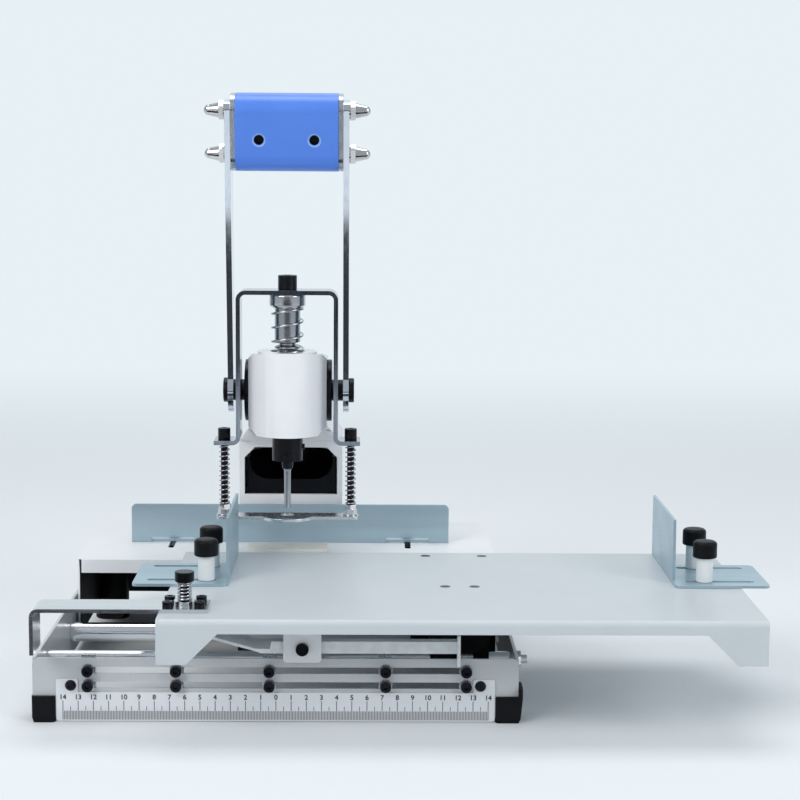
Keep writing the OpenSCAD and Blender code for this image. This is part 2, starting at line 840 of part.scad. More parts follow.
// The column, neck and head are where a side view and a front view of the casting meet
module column_casting() {
    color("white") difference() {
        union() {
            intersection() {
                sideways(-column_w, 2 * column_w) polygon([
                    [column_front, housing_h], [column_front, shoulder_low], [pivot_y, head_low],
                    [pivot_y, crown(pivot_y)], [2 * pivot_y, crown(2 * pivot_y)], [column_back, shoulder_low],
                    [column_back, housing_h]
                ]);
                upright(0, column_back) polygon([
                    [-column_w / 2, housing_h], [-column_w / 2, shoulder_low], [-head_w / 2, shoulder_high],
                    [-head_w / 2, head_high], [head_w / 2, head_high], [head_w / 2, shoulder_high],
                    [column_w / 2, shoulder_low], [column_w / 2, housing_h]
                ]);
            }
            intersection() {
                translate([0, 0, head_low]) linear_extrude(head_high - head_low) polygon([
                    [-head_w / 2, 2 * pivot_y], [-head_w / 2, nose_y + head_w / 2 - nose_w],
                    [-nose_w, nose_y], [nose_w, nose_y],
                    [head_w / 2, nose_y + head_w / 2 - nose_w], [head_w / 2, 2 * pivot_y]
                ]);
                sideways(-head_w, 2 * head_w) polygon([
                    [-bulge_d, head_low], [-bulge_d, crown(-bulge_d)],
                    [2 * pivot_y, crown(2 * pivot_y)], [2 * pivot_y, head_low]
                ]);
                upright(-bulge_d, 3 * bulge_d) polygon([
                    [-head_w / 2 + head_slant, head_low], [-head_w / 2, head_low + head_slant],
                    [-head_w / 2, crown_high - crown_edge], [-head_w / 2 + crown_edge, crown_high],
                    [0, head_high], [head_w / 2 - crown_edge, crown_high],
                    [head_w / 2, crown_high - crown_edge], [head_w / 2, head_low + head_slant],
                    [head_w / 2 - head_slant, head_low]
                ]);
            }
            bar_z(head_low, head_high - head_low, bulge_d);
        }
        bar_z(bush_top_high, head_high, recess_d);
        difference() {
            block(
                [-cavity_w / 2, column_front + column_wall, housing_h - 1],
                [cavity_w / 2, column_back - column_wall, cavity_top]
            );
            for (x = [-bolt_x, bolt_x], y = bolt_y) translate([x, y, 0])
                bar_z(housing_h - 1, boss_h + 1, boss_d);
        }
        upright(column_front - 1, column_wall + 2) polygon([
            [-cavity_w / 2, window_low], [-cavity_w / 2, window_high - window_slant],
            [-cavity_w / 2 + window_slant, window_high], [cavity_w / 2 - window_slant, window_high],
            [cavity_w / 2, window_high - window_slant], [cavity_w / 2, window_low]
        ]);
        for (x = [-bolt_x, bolt_x], y = bolt_y) translate([x, y, 0])
            bar_z(housing_h - 1, boss_h - bolt_sink + 1, bolt_d + 2 * seat_fit);
        bar_z(head_low - 1, head_high - head_low + 2, bush_ring_d + 2 * seat_fit);
        translate([0, pivot_y, pivot_z]) bar_x(-head_w, 2 * head_w, cross_d);
    }
}

module chip_guard() {
    r = cavity_w / 2 - guard_gap;
    y0 = column_front + column_wall + guard_gap;
    y1 = column_back - column_wall - guard_gap - r;
    color("#151516") translate([0, 0, guard_low]) linear_extrude(guard_high - guard_low) union() {
        intersection() {
            translate([0, y1]) difference() {
                circle(r);
                circle(r - guard_t);
            }
            translate([-r, y1]) square([2 * r, r]);
        }
        for (x = [-r, r - guard_t]) translate([x, y0]) square([guard_t, y1 - y0]);
    }
    color("#151516") upright(y0, guard_t) difference() {
        translate([-r, guard_low]) square([2 * r, guard_high - guard_low]);
        rounded(-r + guard_t, scoop_low, 2 * (r - guard_t), guard_high, scoop_r);
    }
}

module bearing_flanges() {
    color("#1c1c1e") both_sides() translate([0, pivot_y, pivot_z]) difference() {
        union() {
            bar_x(plug_in, head_w / 2 - plug_in, cross_d - 2 * seat_fit);
            bar_x(head_w / 2, flange_h, flange_d);
        }
        bar_x(plug_in - 1, head_w, shaft_d + 2 * run_fit);
    }
}

module head_bushes() {
    color("peru") for (z = [[head_low, head_low + bush_low_h], [bush_top_low, bush_top_high]]) difference() {
        bar_z(z[0], z[1] - z[0], bush_ring_d);
        bar_z(z[0] - 1, z[1] - z[0] + 2, spindle_d + 2 * run_fit);
    }
}

module return_spring() {
    color("silver")
        spring(
            (return_od - return_wire) / 2, bush_top_high, collar_low, return_turns, return_wire, "return_spring"
        );
}

// Each stop is a block behind the panel with two washers and two screws through the slots
module index_stop(x) {
    block_y = panel_back + slide_fit;
    washer_y = front_y - slide_fit - washer_t;
    color("#37383c") translate([x, 0, 0]) {
        difference() {
            block([-stop_w / 2, block_y, slot_z - stop_w / 2], [stop_w / 2, block_y + stop_d, stop_h]);
            for (z = slots_z) translate([0, 0, z]) bar_y(block_y - 1, stop_d, screw_d + 2 * seat_fit);
        }
        for (z = slots_z) translate([0, washer_y, z]) {
            difference() {
                bar_y(0, washer_t, stop_head_d + 1.2);
                bar_y(-1, washer_t + 2, screw_d + 2 * seat_fit);
            }
            rotate([90, 0, 0]) socket_screw(
                screw_d, washer_t + sheet_t + 2 * slide_fit + stop_d - 1.5, stop_head_d, stop_head_h
            );
        }
    }
}
module index_stop_1() index_stop(stop_x[0]);
module index_stop_2() index_stop(stop_x[1]);
module index_stop_3() index_stop(stop_x[2]);
module index_stop_4() index_stop(stop_x[3]);
module index_stop_5() index_stop(stop_x[4]);

// Table

// Places of the flat screws that hold the bearing block and the front slider
carriage_screws = [
    for (dx = [-1, 1]) each [
        [block_x + dx * block_w / 3, (web_front + web_back) / 2], [block_x + dx * slider_w / 4, front_rod_y]
    ]
];
strap_screws = [
    for (dx = [-1, 1], dy = [-1, 1]) [button_x + dx * strap_screw_dx, strap_y + dy * strap_screw_dy]
];

module table_top() {
    y0 = -table_front;
    color("gainsboro") difference() {
        union() {
            block([table_left, y0 + bend_r, table_under], [table_left + table_w, -table_rear, table_z]);
            sideways(table_left, table_w) translate([y0 + bend_r, table_z - bend_r]) intersection() {
                difference() {
                    circle(bend_r);
                    circle(bend_r - table_t);
                }
                translate([-bend_r, 0]) square(bend_r);
            }
            upright(y0, table_t) polygon([
                [table_left, table_z - bend_r], [table_left, table_z - ear_h],
                [table_left + ear_w, table_z - ear_h],
                [table_left + ear_w + ear_h - apron_h, table_z - apron_h],
                [table_left + table_w - ear_w - ear_h + apron_h, table_z - apron_h],
                [table_left + table_w - ear_w, table_z - ear_h],
                [table_left + table_w, table_z - ear_h], [table_left + table_w, table_z - bend_r]
            ]);
            for (x = [table_x - knob_x, table_x + knob_x], y = knob_ys)
                translate([x, y, table_under - weld_nut_h]) hex_bar(2 * clamp_d, weld_nut_h);
        }
        for (x = [table_x - knob_x, table_x + knob_x], y = knob_ys) translate([x, y, 0])
            bar_z(table_under - weld_nut_h - 1, weld_nut_h + table_t + 2, clamp_d + 2 * run_fit);
        for (p = strap_screws) translate(p) bar_z(table_under - 1, table_t + 2, screw_d + 2 * seat_fit);
        translate([button_x, strap_y, 0]) bar_z(table_under - 1, table_t + 2, button_stem_d + 2 * run_fit);
        for (p = carriage_screws) translate([p.x, p.y, table_under - seat_fit]) {
            cylinder(d1 = screw_d + 2 * seat_fit, d2 = flat_head_d + 2 * seat_fit, h = table_t + seat_fit);
        }
    }
}

module handle_strap() {
    color("silver") difference() {
        union() {
            upright(strap_y - strap_w / 2, strap_w) union() {
                translate([strap_x + strap_r, table_z]) square([strap_l - strap_r, strap_t]);
                translate([strap_x, table_z - strap_drop]) square([strap_t, strap_drop + strap_t - strap_r]);
                intersection() {
                    translate([strap_x + strap_r, strap_top - strap_r]) difference() {
                        circle(strap_r);
                        circle(strap_r - strap_t);
                    }
                    translate([strap_x, strap_top - strap_r]) square(strap_r);
                }
            }
            translate([button_x, strap_y, 0]) bar_z(strap_top, ring_h, ring_d);
        }
        for (p = strap_screws) translate(p) {
            bar_z(table_z - 1, strap_t + 2, screw_d + 2 * seat_fit);
            bar_z(strap_top, ring_h + 1, socket_head_d + 2 * seat_fit);
        }
        translate([button_x, strap_y, 0])
            bar_z(table_z - 1, strap_t + ring_h + 2, button_stem_d + 2 * run_fit);
    }
}

module table_screws() {
    color("#202124") {
        for (p = strap_screws) translate([p.x, p.y, strap_top]) {
            socket_screw(screw_d, strap_t + table_t + screw_nut_h, socket_head_d, socket_head_h);
            translate([0, 0, -strap_t - table_t - screw_nut_h]) hex_bar(screw_head_d - 0.5, screw_nut_h);
        }
        for (p = carriage_screws) translate([p.x, p.y, 0]) {
            translate([0, 0, table_under]) cylinder(d1 = screw_d, d2 = flat_head_d, h = table_t);
            bar_z(table_under - 2 * screw_d, 2 * screw_d, screw_d);
        }
    }
}

module handle_pad() {
    color("#1a1a1b") translate([(strap_x + table_left) / 2 + grip_pad_d / 2, strap_y, 0])
        bar_z(table_z - grip_pad_h, grip_pad_h, grip_pad_d);
}

module bearing_block() {
    x0 = block_x - block_w / 2;
    color("#222326") difference() {
        union() {
            block([x0, web_front, block_low], [x0 + block_w, web_front + block_d, web_low]);
            block([x0, web_front, block_low], [x0 + block_w, web_back, table_under]);
        }
        translate([0, rear_rod_y, rear_rod_z])
            bar_x(block_x - block_w, 2 * block_w, bush_od + 2 * seat_fit);
        for (p = carriage_screws) translate(p)
            bar_z(table_under - 2 * screw_d, 2 * screw_d + 1, screw_d + 2 * seat_fit);
    }
}

module linear_bushes() {
    color("darkgoldenrod") for (x = [block_x - block_w / 2, block_x + block_w / 2 - bush_l])
        translate([0, rear_rod_y, rear_rod_z]) difference() {
            bar_x(x, bush_l, bush_od);
            bar_x(x - 1, bush_l + 2, rear_rod_d + 2 * run_fit);
        }
}

module front_slider() {
    color("white") difference() {
        block(
            [block_x - slider_w / 2, front_rod_y - slider_d / 2, front_rod_z + 1],
            [block_x + slider_w / 2, front_rod_y + slider_d / 2, table_under]
        );
        translate([block_x, front_rod_y, front_rod_z])
            bar_x(-slider_w, 2 * slider_w, front_rod_d + 2 * run_fit);
        for (p = carriage_screws) translate(p)
            bar_z(table_under - 2 * screw_d, 2 * screw_d + 1, screw_d + 2 * seat_fit);
    }
}

module rocker_bracket() {
    x0 = rocker_x - bracket_w / 2;
    color("white") difference() {
        union() {
            upright(bracket_y, sheet_t) union() {
                rounded(x0, bracket_low, bracket_w, table_under - bracket_low, 2.5);
                translate([x0, rocker_z]) square([bracket_w, table_under - rocker_z]);
            }
            block(
                [x0, bracket_y - bracket_foot, table_under - sheet_t], [x0 + bracket_w, bracket_y, table_under]
            );
        }
        translate([rocker_x, 0, rocker_z]) bar_y(bracket_y - 1, sheet_t + 2, pivot_d + 2 * seat_fit);
    }
}

module rocker_pivot() {
    back = rocker_front + rocker_d;
    color("#1e1e20") translate([rocker_x, 0, rocker_z]) {
        bar_y(bracket_y - pivot_head_h, pivot_head_h, pivot_head_d);
        bar_y(bracket_y, back - bracket_y + 2, pivot_d);
        bar_y(bracket_y + sheet_t, bracket_gap - slide_fit, pivot_d + 3);
        bar_y(back + slide_fit, 2, pivot_d + 2.5);
    }
}

module clamp_sleeves() {
    color("white") for (x = [table_x - knob_x, table_x + knob_x], y = knob_ys) translate([x, y, 0])
        difference() {
            bar_z(sleeve_z, sleeve_h, sleeve_d);
            bar_z(sleeve_z - 1, sleeve_h + 2, clamp_d + 2 * run_fit);
        }
}

module button_spring() {
    color("silver") translate([button_x, strap_y, 0])
        spring(
            (button_od - button_wire) / 2, button_seat, button_under, button_turns, button_wire, "button_spring"
        );
}

module index_button() {
    color("#1c1c1f") translate([button_x, strap_y, 0]) {
        bar_z(button_under, button_h, button_d);
        bar_z(strip_top + pass_gap / 2, button_under - strip_top - pass_gap / 2, button_stem_d);
    }
}

// The strip at the left end rises to the button, the finger at the right end hangs in front of the panel
module index_rocker() {
    left = rocker_x - rocker_left;
    right = rocker_x + rocker_right;
    back = rocker_front + rocker_d;
    rise = strip_top - rocker_high;
    color("lightgray") difference() {
        union() {
            block([left, rocker_front, rocker_low], [right, back, rocker_high]);
            upright(strip_front, back - strip_front) polygon([
                [button_x - strip_flat, strip_top - strip_t], [button_x + strip_flat, strip_top - strip_t],
                [left, rocker_high - strip_t], [left + strip_flat, rocker_high - strip_t],
                [left + strip_flat, rocker_high], [left - strip_t * rise / (left - button_x), rocker_high],
                [button_x + strip_flat - strip_t / 3, strip_top], [button_x - strip_flat, strip_top]
            ]);
            block([right - finger_t, rocker_front + finger_t - finger_d, finger_low],
                [right, rocker_front + finger_t, finger_top]);
        }
        translate([rocker_x, 0, rocker_z]) bar_y(rocker_front - 1, rocker_d + 2, pivot_d + 2 * run_fit);
    }
}

// A guide drawn with its fence's inner face at x = 0 and its plate towards -X
module guide() {
    difference() {
        union() {
            translate([0, 0, guide_z]) linear_extrude(sheet_t) difference() {
                rounded(-guide_l, -guide_front, guide_l, guide_d, 4);
                for (y = knob_ys) slot2d(-guide_slot_out, -guide_slot_in, y, guide_slot_w);
            }
            block([-sheet_t, -fence_front, guide_z], [0, -fence_rear, table_z + fence_h]);
        }
    }
}
module left_guide() color("#c9d3e6") translate([left_fence_x, 0, 0]) guide();
module right_guide() color("#c9d3e6") translate([right_fence_x, 0, 0]) mirror([1, 0, 0]) guide();

module guide_knob(x, y) {
    color("#19191b") translate([x, y, 0]) {
        rotate_extrude() polygon([
            [0, knob_z], [knob_d / 2, knob_z], [knob_d / 2, knob_z + knob_h - 2],
            [knob_d / 2 - 1.5, knob_z + knob_h - 0.6], [0, knob_z + knob_h]
        ]);
        bar_z(table_under - weld_nut_h - 2, knob_z - table_under + weld_nut_h + 2, clamp_d);
    }
}
module guide_knob_lf() guide_knob(table_x - knob_x, knob_ys[0]);
module guide_knob_lr() guide_knob(table_x - knob_x, knob_ys[1]);
module guide_knob_rf() guide_knob(table_x + knob_x, knob_ys[0]);
module guide_knob_rr() guide_knob(table_x + knob_x, knob_ys[1]);

// The feet are behind the wall, with a stud and a nut each through the housing's slots
module back_gauge() {
    y1 = gauge_face + sheet_t;
    foot_w = gauge_w / 2 - gauge_notch;
    color("#c9d3e6") {
        difference() {
            union() {
                upright(gauge_face, sheet_t) union() {
                    rounded(-gauge_w / 2, gauge_z, gauge_w, gauge_top - gauge_z, 4);
                    translate([-gauge_w / 2, gauge_z]) square([gauge_w, gauge_top - gauge_z - 4]);
                }
                both_sides() block(
                    [gauge_notch, gauge_face, gauge_z],
                    [gauge_notch + foot_w, y1 + gauge_foot, gauge_z + sheet_t]
                );
            }
            for (x = [-gauge_slot_x, gauge_slot_x]) block(
                [x - gauge_relief_w / 2, gauge_face - 1, gauge_z - 1],
                [x + gauge_relief_w / 2, y1, gauge_z + gauge_relief_h]
            );
        }
        for (x = [-gauge_slot_x, gauge_slot_x]) translate([x, gauge_stud_y, 0]) {
            bar_z(
                housing_under - screw_nut_h - slide_fit, gauge_z - housing_under + screw_nut_h + slide_fit,
                gauge_stud_d
            );
            translate([0, 0, housing_under - screw_nut_h - slide_fit]) hex_bar(screw_head_d, screw_nut_h);
            translate([0, 0, gauge_z + sheet_t]) hex_bar(screw_head_d, screw_nut_h);
        }
    }
}

// Lever, drawn upright over the pivot and then leaned forward

module leaned() translate([0, pivot_y, pivot_z]) rotate([lean, 0, 0]) children();

module double_d() intersection() {
    circle(d = shaft_end_d);
    square([shaft_end_d, flat_w], center = true);
}

module grip_bolt_holes() for (z = [-1, 1]) translate([0, 0, grip_at + z * grip_bolt_gap / 2])
    bar_x(-arm_gap, 2 * arm_gap, grip_bolt_d + 2 * seat_fit);

module lever_arms() {
    color("#9aa4b5") leaned() difference() {
        both_sides() sideways(arm_gap / 2, arm_t) difference() {
            union() {
                circle(arm_end_r);
                translate([-arm_w / 2, 0]) square([arm_w, arm_l / 2]);
                rounded(-arm_w / 2, 0, arm_w, arm_l, 6);
            }
            offset(delta = seat_fit) double_d();
        }
        grip_bolt_holes();
    }
}

module grip() {
    hole_x = 20;
    hole_d = 7;
    hole_z = grip_at - 3.5;
    color("#5888e2") leaned() difference() {
        sideways(-grip_w / 2, grip_w) rounded(-grip_d / 2, grip_at - grip_h / 2, grip_d, grip_h, grip_r);
        grip_bolt_holes();
        for (x = [-hole_x, hole_x]) translate([x, 0, hole_z]) {
            bar_y(-grip_d, grip_d / 2 + 8, hole_d);
            translate([0, -grip_d / 2, 0]) rotate([-90, 0, 0])
                cylinder(d1 = hole_d + 2.4, d2 = hole_d, h = 1.2);
        }
    }
}

module grip_end_plates() {
    color("#b9bfca") leaned() difference() {
        both_sides() sideways(grip_w / 2, (arm_gap - grip_w) / 2)
            rounded(-end_plate_w / 2, grip_at - grip_h / 2, end_plate_w, grip_h, end_plate_w / 2 - 4);
        grip_bolt_holes();
    }
}

// Two through bolts with a washer and an acorn nut at each end
module grip_bolts() {
    outer = arm_gap / 2 + arm_t;
    hex_h = 3.5;
    cone_h = 7;
    dome_d = 8;
    color("silver") leaned() for (z = [-1, 1]) translate([0, 0, grip_at + z * grip_bolt_gap / 2]) {
        bar_x(-outer - hex_h, 2 * (outer + hex_h), grip_bolt_d);
        both_sides() {
            bar_x(outer, washer_t, 2 * grip_bolt_d + 2);
            translate([outer + washer_t, 0, 0]) rotate([0, 90, 0]) {
                hex_bar(2 * grip_bolt_d, hex_h);
                translate([0, 0, hex_h]) cylinder(d1 = 2 * grip_bolt_d - 0.6, d2 = dome_d, h = cone_h);
                translate([0, 0, hex_h + cone_h]) intersection() {
                    sphere(d = dome_d);
                    bar_z(0, dome_d, dome_d + 1);
                }
            }
        }
    }
}

module pinion_shaft() {
    color("#222225") leaned() {
        difference() {
            union() {
                bar_x(-arm_gap / 2, arm_gap, shaft_d);
                sideways(-arm_gap / 2 - arm_t, arm_gap + 2 * arm_t) double_d();
            }
            both_sides() bar_x(arm_gap / 2 - 8, arm_t + 9, stud_d + 2 * seat_fit);
        }
        block([-pinion_w / 2, -key_w / 2, 0], [pinion_w / 2, key_w / 2, shaft_d / 2 + key_w / 2]);
    }
}

// Half of a tooth's angle at radius r, from the involute of the base circle
function involute(a) = tan(a) - a * PI / 180;
function half_tooth(r) =
    90 / pinion_teeth - tooth_play / pitch_r * 90 / PI
    + (involute(pressure) - involute(acos(min(1, base_r / r)))) * 180 / PI;
flank = [root_r, base_r, for (k = [1 : 5]) base_r + (tip_r - base_r) * k / 5];
function polar(r, a) = [r * cos(a), r * sin(a)];

module pinion_gear() {
    step = 360 / pinion_teeth;
    color("#8d9096") translate([0, pivot_y, pivot_z]) difference() {
        sideways(-pinion_w / 2, pinion_w) polygon([
            for (i = [0 : pinion_teeth - 1])
            let (mid = 180 + i * step)
            each concat(
                [for (r = flank) polar(r, mid - half_tooth(max(r, base_r)))],
                [for (k = [len(flank) - 1 : -1 : 0])
                    polar(flank[k], mid + half_tooth(max(flank[k], base_r)))]
            )
        ]);
        bar_x(-pinion_w, 2 * pinion_w, shaft_d + 2 * seat_fit);
        rotate([lean, 0, 0]) block(
            [-pinion_w, -key_w / 2 - seat_fit, 0],
            [pinion_w, key_w / 2 + seat_fit, shaft_d / 2 + key_w / 2 + seat_fit]
        );
    }
}

module pivot_caps() {
    outer = arm_gap / 2 + arm_t;
    color("#1c1c1e") leaned() both_sides() {
        bar_x(outer, cap_h, cap_d);
        bar_x(arm_gap / 2 - 6, arm_t + 6, stud_d);
    }
}

// Yoke, spindle and presser

module yoke_strap() {
    inner = yoke_w / 2 - yoke_t;
    bend = 7;
    color("#a6adba") difference() {
        union() {
            upright(-yoke_d / 2, yoke_d) difference() {
                union() {
                    rounded(-yoke_w / 2, yoke_seat + foot_r, yoke_w, yoke_top - yoke_seat - foot_r, bend);
                    translate([-yoke_w / 2, yoke_seat + foot_r]) square([yoke_w, 2 * bend]);
                }
                rounded(-inner, yoke_low - bend, 2 * inner, yoke_under - yoke_low + bend, bend - yoke_t);
            }
            both_sides() upright(-yoke_d / 2, yoke_d) union() {
                intersection() {
                    translate([yoke_w / 2 + foot_r, yoke_seat + foot_r]) difference() {
                        circle(foot_r + yoke_t);
                        circle(foot_r);
                    }
                    translate([inner, yoke_low]) square(foot_r + yoke_t);
                }
                translate([yoke_w / 2 + foot_r, yoke_low])
                    square([yoke_foot_w / 2 - yoke_w / 2 - foot_r, yoke_t]);
            }
        }
        bar_z(yoke_under - 1, yoke_t + 2, yoke_bolt_d + 2 * run_fit);
        for (x = [-presser_x, presser_x]) translate([x, 0, 0])
            bar_z(yoke_low - 1, yoke_t + 2, presser_rod_d + 2 * run_fit);
    }
}

module spindle() {
    p = PI * tooth_m;
    crest = p / 4 - tooth_play / 2 - tooth_m * tan(pressure);
    foot = p / 4 - tooth_play / 2 + 1.25 * tooth_m * tan(pressure);
    shift = pivot_z - p * round((pivot_z - rack_low) / p);
    outer = spindle_d / 2;
    inner = rack_r - 1.25 * tooth_m;
    color("#d9dde2") difference() {
        union() {
            rotate_extrude() polygon(concat(
                [[0, chuck_top - spigot_l], [spigot_d / 2, chuck_top - spigot_l], [spigot_d / 2, chuck_top],
                    [outer, chuck_top]],
                [for (i = [0 : rack_pitches - 1])
                    let (z = shift + i * p)
                    each [[outer, z - p / 2 + crest], [inner, z - p / 2 + foot],
                        [inner, z + p / 2 - foot], [outer, z + p / 2 - crest]]],
                [[outer, collar_low], [0, collar_low]]
            ));
        }
        bar_z(collar_top - yoke_bolt_l, yoke_bolt_l + 1, yoke_bolt_d + 2 * seat_fit);
    }
}

module spindle_collar() {
    color("#dfe2e6") difference() {
        rotate_extrude() polygon([
            [0, collar_low], [collar_d / 2 - 2, collar_low], [collar_d / 2, collar_low + 2],
            [collar_d / 2, collar_top - 0.8], [collar_d / 2 - 0.8, collar_top], [0, collar_top]
        ]);
        bar_z(collar_low - 1, collar_h + 2, yoke_bolt_d + 2 * seat_fit);
    }
}

module yoke_screw() {
    color("#18181a") translate([0, 0, yoke_top + slide_fit]) difference() {
        union() {
            bar_z(0, yoke_screw_h, yoke_screw_d);
            bar_z(collar_top - yoke_bolt_l + 1 - yoke_top, yoke_top - collar_top + yoke_bolt_l - 1, yoke_bolt_d);
        }
        translate([0, 0, yoke_screw_h / 2]) hex_bar(yoke_screw_d / 2, yoke_screw_h);
    }
}

module drill_chuck() {
    grub_z = chuck_low + chuck_l / 2 - 1.5;
    color("#161618") {
        difference() {
            bar_z(chuck_low, chuck_l, chuck_d);
            bar_z(chuck_top - spigot_l - seat_fit, spigot_l + 1, spigot_d + 2 * seat_fit);
            bar_z(chuck_low - 1, shank_l + 1 + seat_fit, shank_d + 2 * seat_fit);
            translate([0, 0, grub_z]) bar_y(-chuck_d, chuck_d, screw_d + 2 * seat_fit);
        }
        translate([0, 0, grub_z]) bar_y(-chuck_d / 2 + 1.5, chuck_d / 2 - 1.5 - shank_d / 2 - seat_fit, screw_d);
        translate([0, 0, grub_z + 3]) bar_x(chuck_d / 2 - 1, 2.5, screw_d);
    }
}

module collet_nut() {
    color("#d0d4da") difference() {
        union() {
            bar_z(chuck_low - collet_h / 2, collet_h / 2, collet_d);
            translate([0, 0, chuck_low - collet_h])
                cylinder(d1 = shank_d + 0.8, d2 = collet_d, h = collet_h / 2);
        }
        bar_z(chuck_low - collet_h - 1, collet_h + 2, shank_d + 2 * seat_fit);
    }
}

module drill_bit() {
    low = chuck_low - collet_h;
    color("#b8bcc4") difference() {
        union() {
            bar_z(low, collet_h + shank_l, shank_d);
            translate([0, 0, low - taper_l]) cylinder(d1 = bit_d, d2 = taper_d, h = taper_l);
            bar_z(bit_tip, low - taper_l - bit_tip, bit_d);
        }
        bar_z(bit_tip - 1, chuck_low + shank_l - bit_tip + 2, bit_bore);
    }
}

module presser_plate() {
    color("#cdd3de") translate([0, 0, presser_low]) linear_extrude(presser_t) difference() {
        union() {
            rounded(-presser_w / 2, -presser_d / 2, presser_w, presser_d, 4);
            intersection() {
                circle(d = presser_round);
                translate([-presser_round, -presser_round]) square([2 * presser_round, presser_round]);
            }
        }
        circle(d = bit_hole);
        for (x = [-presser_x, presser_x]) translate([x, 0]) circle(d = presser_rod_d + 2 * seat_fit);
    }
}

module presser_rods() {
    color("#1b1b1d") for (x = [-presser_x, presser_x]) translate([x, 0, yoke_seat + slide_fit])
        socket_screw(presser_rod_d, yoke_seat + slide_fit - presser_low, presser_head_d, presser_head_h);
}

module presser_nuts() {
    color("#cfd3d9") for (x = [-presser_x, presser_x]) translate([x, 0, presser_top]) difference() {
        union() {
            bar_z(0, washer_t, presser_washer_d);
            for (i = [0, 1]) translate([0, 0, washer_t + i * presser_nut_h]) rotate(30 * i)
                hex_bar(presser_nut_af, presser_nut_h);
        }
        bar_z(-1, washer_t + 2 * presser_nut_h + 2, presser_rod_d + 2 * seat_fit);
    }
}

module presser_springs() {
    color("silver") for (x = [-presser_x, presser_x]) translate([x, 0, 0])
        spring((presser_od - presser_wire) / 2, presser_seat, yoke_low, presser_turns, presser_wire,
            "presser_springs");
}

base_frame();
front_boots();
anvil_base();
rear_legs();
rear_housing();
frame_screws();
scale_ruler();
rear_guide_rod();
front_guide_rod();
rod_end_nuts();
cutting_pad();
column_casting();
column_bolts();
chip_guard();
bearing_flanges();
head_bushes();
return_spring();
index_stop_1();
index_stop_2();
index_stop_3();
index_stop_4();
index_stop_5();
table_top();
handle_strap();
table_screws();
handle_pad();
bearing_block();
linear_bushes();
front_slider();
rocker_bracket();
rocker_pivot();
clamp_sleeves();
button_spring();
index_button();
index_rocker();
left_guide();
right_guide();
guide_knob_lf();
guide_knob_lr();
guide_knob_rf();
guide_knob_rr();
back_gauge();
lever_arms();
grip();
grip_end_plates();
grip_bolts();
pinion_shaft();
pinion_gear();
pivot_caps();
yoke_strap();
spindle();
spindle_collar();
yoke_screw();
drill_chuck();
collet_nut();
drill_bit();
presser_plate();
presser_rods();
presser_nuts();
presser_springs();
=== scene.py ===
"""Lever-operated drill press for binder holes, with a sliding, indexed table."""

import json
import math

import bmesh
import bpy
from mathutils import Matrix, Vector

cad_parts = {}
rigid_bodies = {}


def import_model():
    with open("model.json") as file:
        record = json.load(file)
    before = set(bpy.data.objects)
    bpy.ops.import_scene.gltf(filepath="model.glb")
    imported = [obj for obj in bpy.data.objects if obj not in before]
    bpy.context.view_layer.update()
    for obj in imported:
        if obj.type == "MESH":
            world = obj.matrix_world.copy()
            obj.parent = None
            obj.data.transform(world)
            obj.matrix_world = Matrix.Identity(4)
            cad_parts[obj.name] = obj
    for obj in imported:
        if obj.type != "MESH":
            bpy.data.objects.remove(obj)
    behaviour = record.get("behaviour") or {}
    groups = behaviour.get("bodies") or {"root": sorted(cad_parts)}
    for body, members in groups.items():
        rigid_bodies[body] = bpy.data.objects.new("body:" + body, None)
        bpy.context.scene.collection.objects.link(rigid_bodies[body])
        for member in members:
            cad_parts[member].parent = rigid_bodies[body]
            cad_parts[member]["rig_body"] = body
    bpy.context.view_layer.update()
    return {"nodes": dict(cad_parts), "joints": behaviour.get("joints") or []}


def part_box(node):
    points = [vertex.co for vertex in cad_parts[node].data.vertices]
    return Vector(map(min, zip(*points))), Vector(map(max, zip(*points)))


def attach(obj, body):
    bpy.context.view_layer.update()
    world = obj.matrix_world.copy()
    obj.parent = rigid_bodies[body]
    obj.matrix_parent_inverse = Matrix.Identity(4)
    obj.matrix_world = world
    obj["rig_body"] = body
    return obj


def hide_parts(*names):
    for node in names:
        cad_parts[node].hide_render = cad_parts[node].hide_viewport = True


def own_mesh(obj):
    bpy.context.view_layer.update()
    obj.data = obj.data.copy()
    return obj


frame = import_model()
solids = frame["nodes"]
scene = bpy.context.scene

# Studio: a pale floor that curves up into a bright backdrop, with soft lamps on both sides and above.
# Dark cards on the floor show in bright metal only. The camera stands a metre and a half in front.
scene.view_settings.view_transform = "Standard"

sweep_width, sweep_front, sweep_back, sweep_height = 14.0, -6.0, 4.2, 6.0
sweep_bend, bend_steps = 1.6, 24
bend_start = sweep_back - sweep_bend
profile = [(sweep_front, 0.0), (bend_start, 0.0)]
for step in range(1, bend_steps + 1):
    turn = math.radians(90 * step / bend_steps)
    profile.append((bend_start + sweep_bend * math.sin(turn), sweep_bend * (1 - math.cos(turn))))
profile.append((sweep_back, sweep_height))
sweep_mesh = bpy.data.meshes.new("studio_sweep")
sweep_mesh.from_pydata(
    [(side * sweep_width / 2, y, z) for y, z in profile for side in (-1, 1)],
    [],
    [(2 * i, 2 * i + 1, 2 * i + 3, 2 * i + 2) for i in range(len(profile) - 1)],
)
sweep_mesh.shade_smooth()
sweep = bpy.data.objects.new("studio_sweep", sweep_mesh)
scene.collection.objects.link(sweep)
paper = bpy.data.materials.new("studio_paper")
paper.use_nodes = True
paper_tree = paper.node_tree
matt = paper_tree.nodes["Principled BSDF"]
matt.inputs["Base Color"].default_value = (0.80, 0.83, 0.85, 1)
matt.inputs["Roughness"].default_value = 0.9
bright = paper_tree.nodes.new("ShaderNodeEmission")
bright.inputs["Color"].default_value = (0.80, 0.88, 0.92, 1)
sight = paper_tree.nodes.new("ShaderNodeLightPath")
place = paper_tree.nodes.new("ShaderNodeTexCoord")
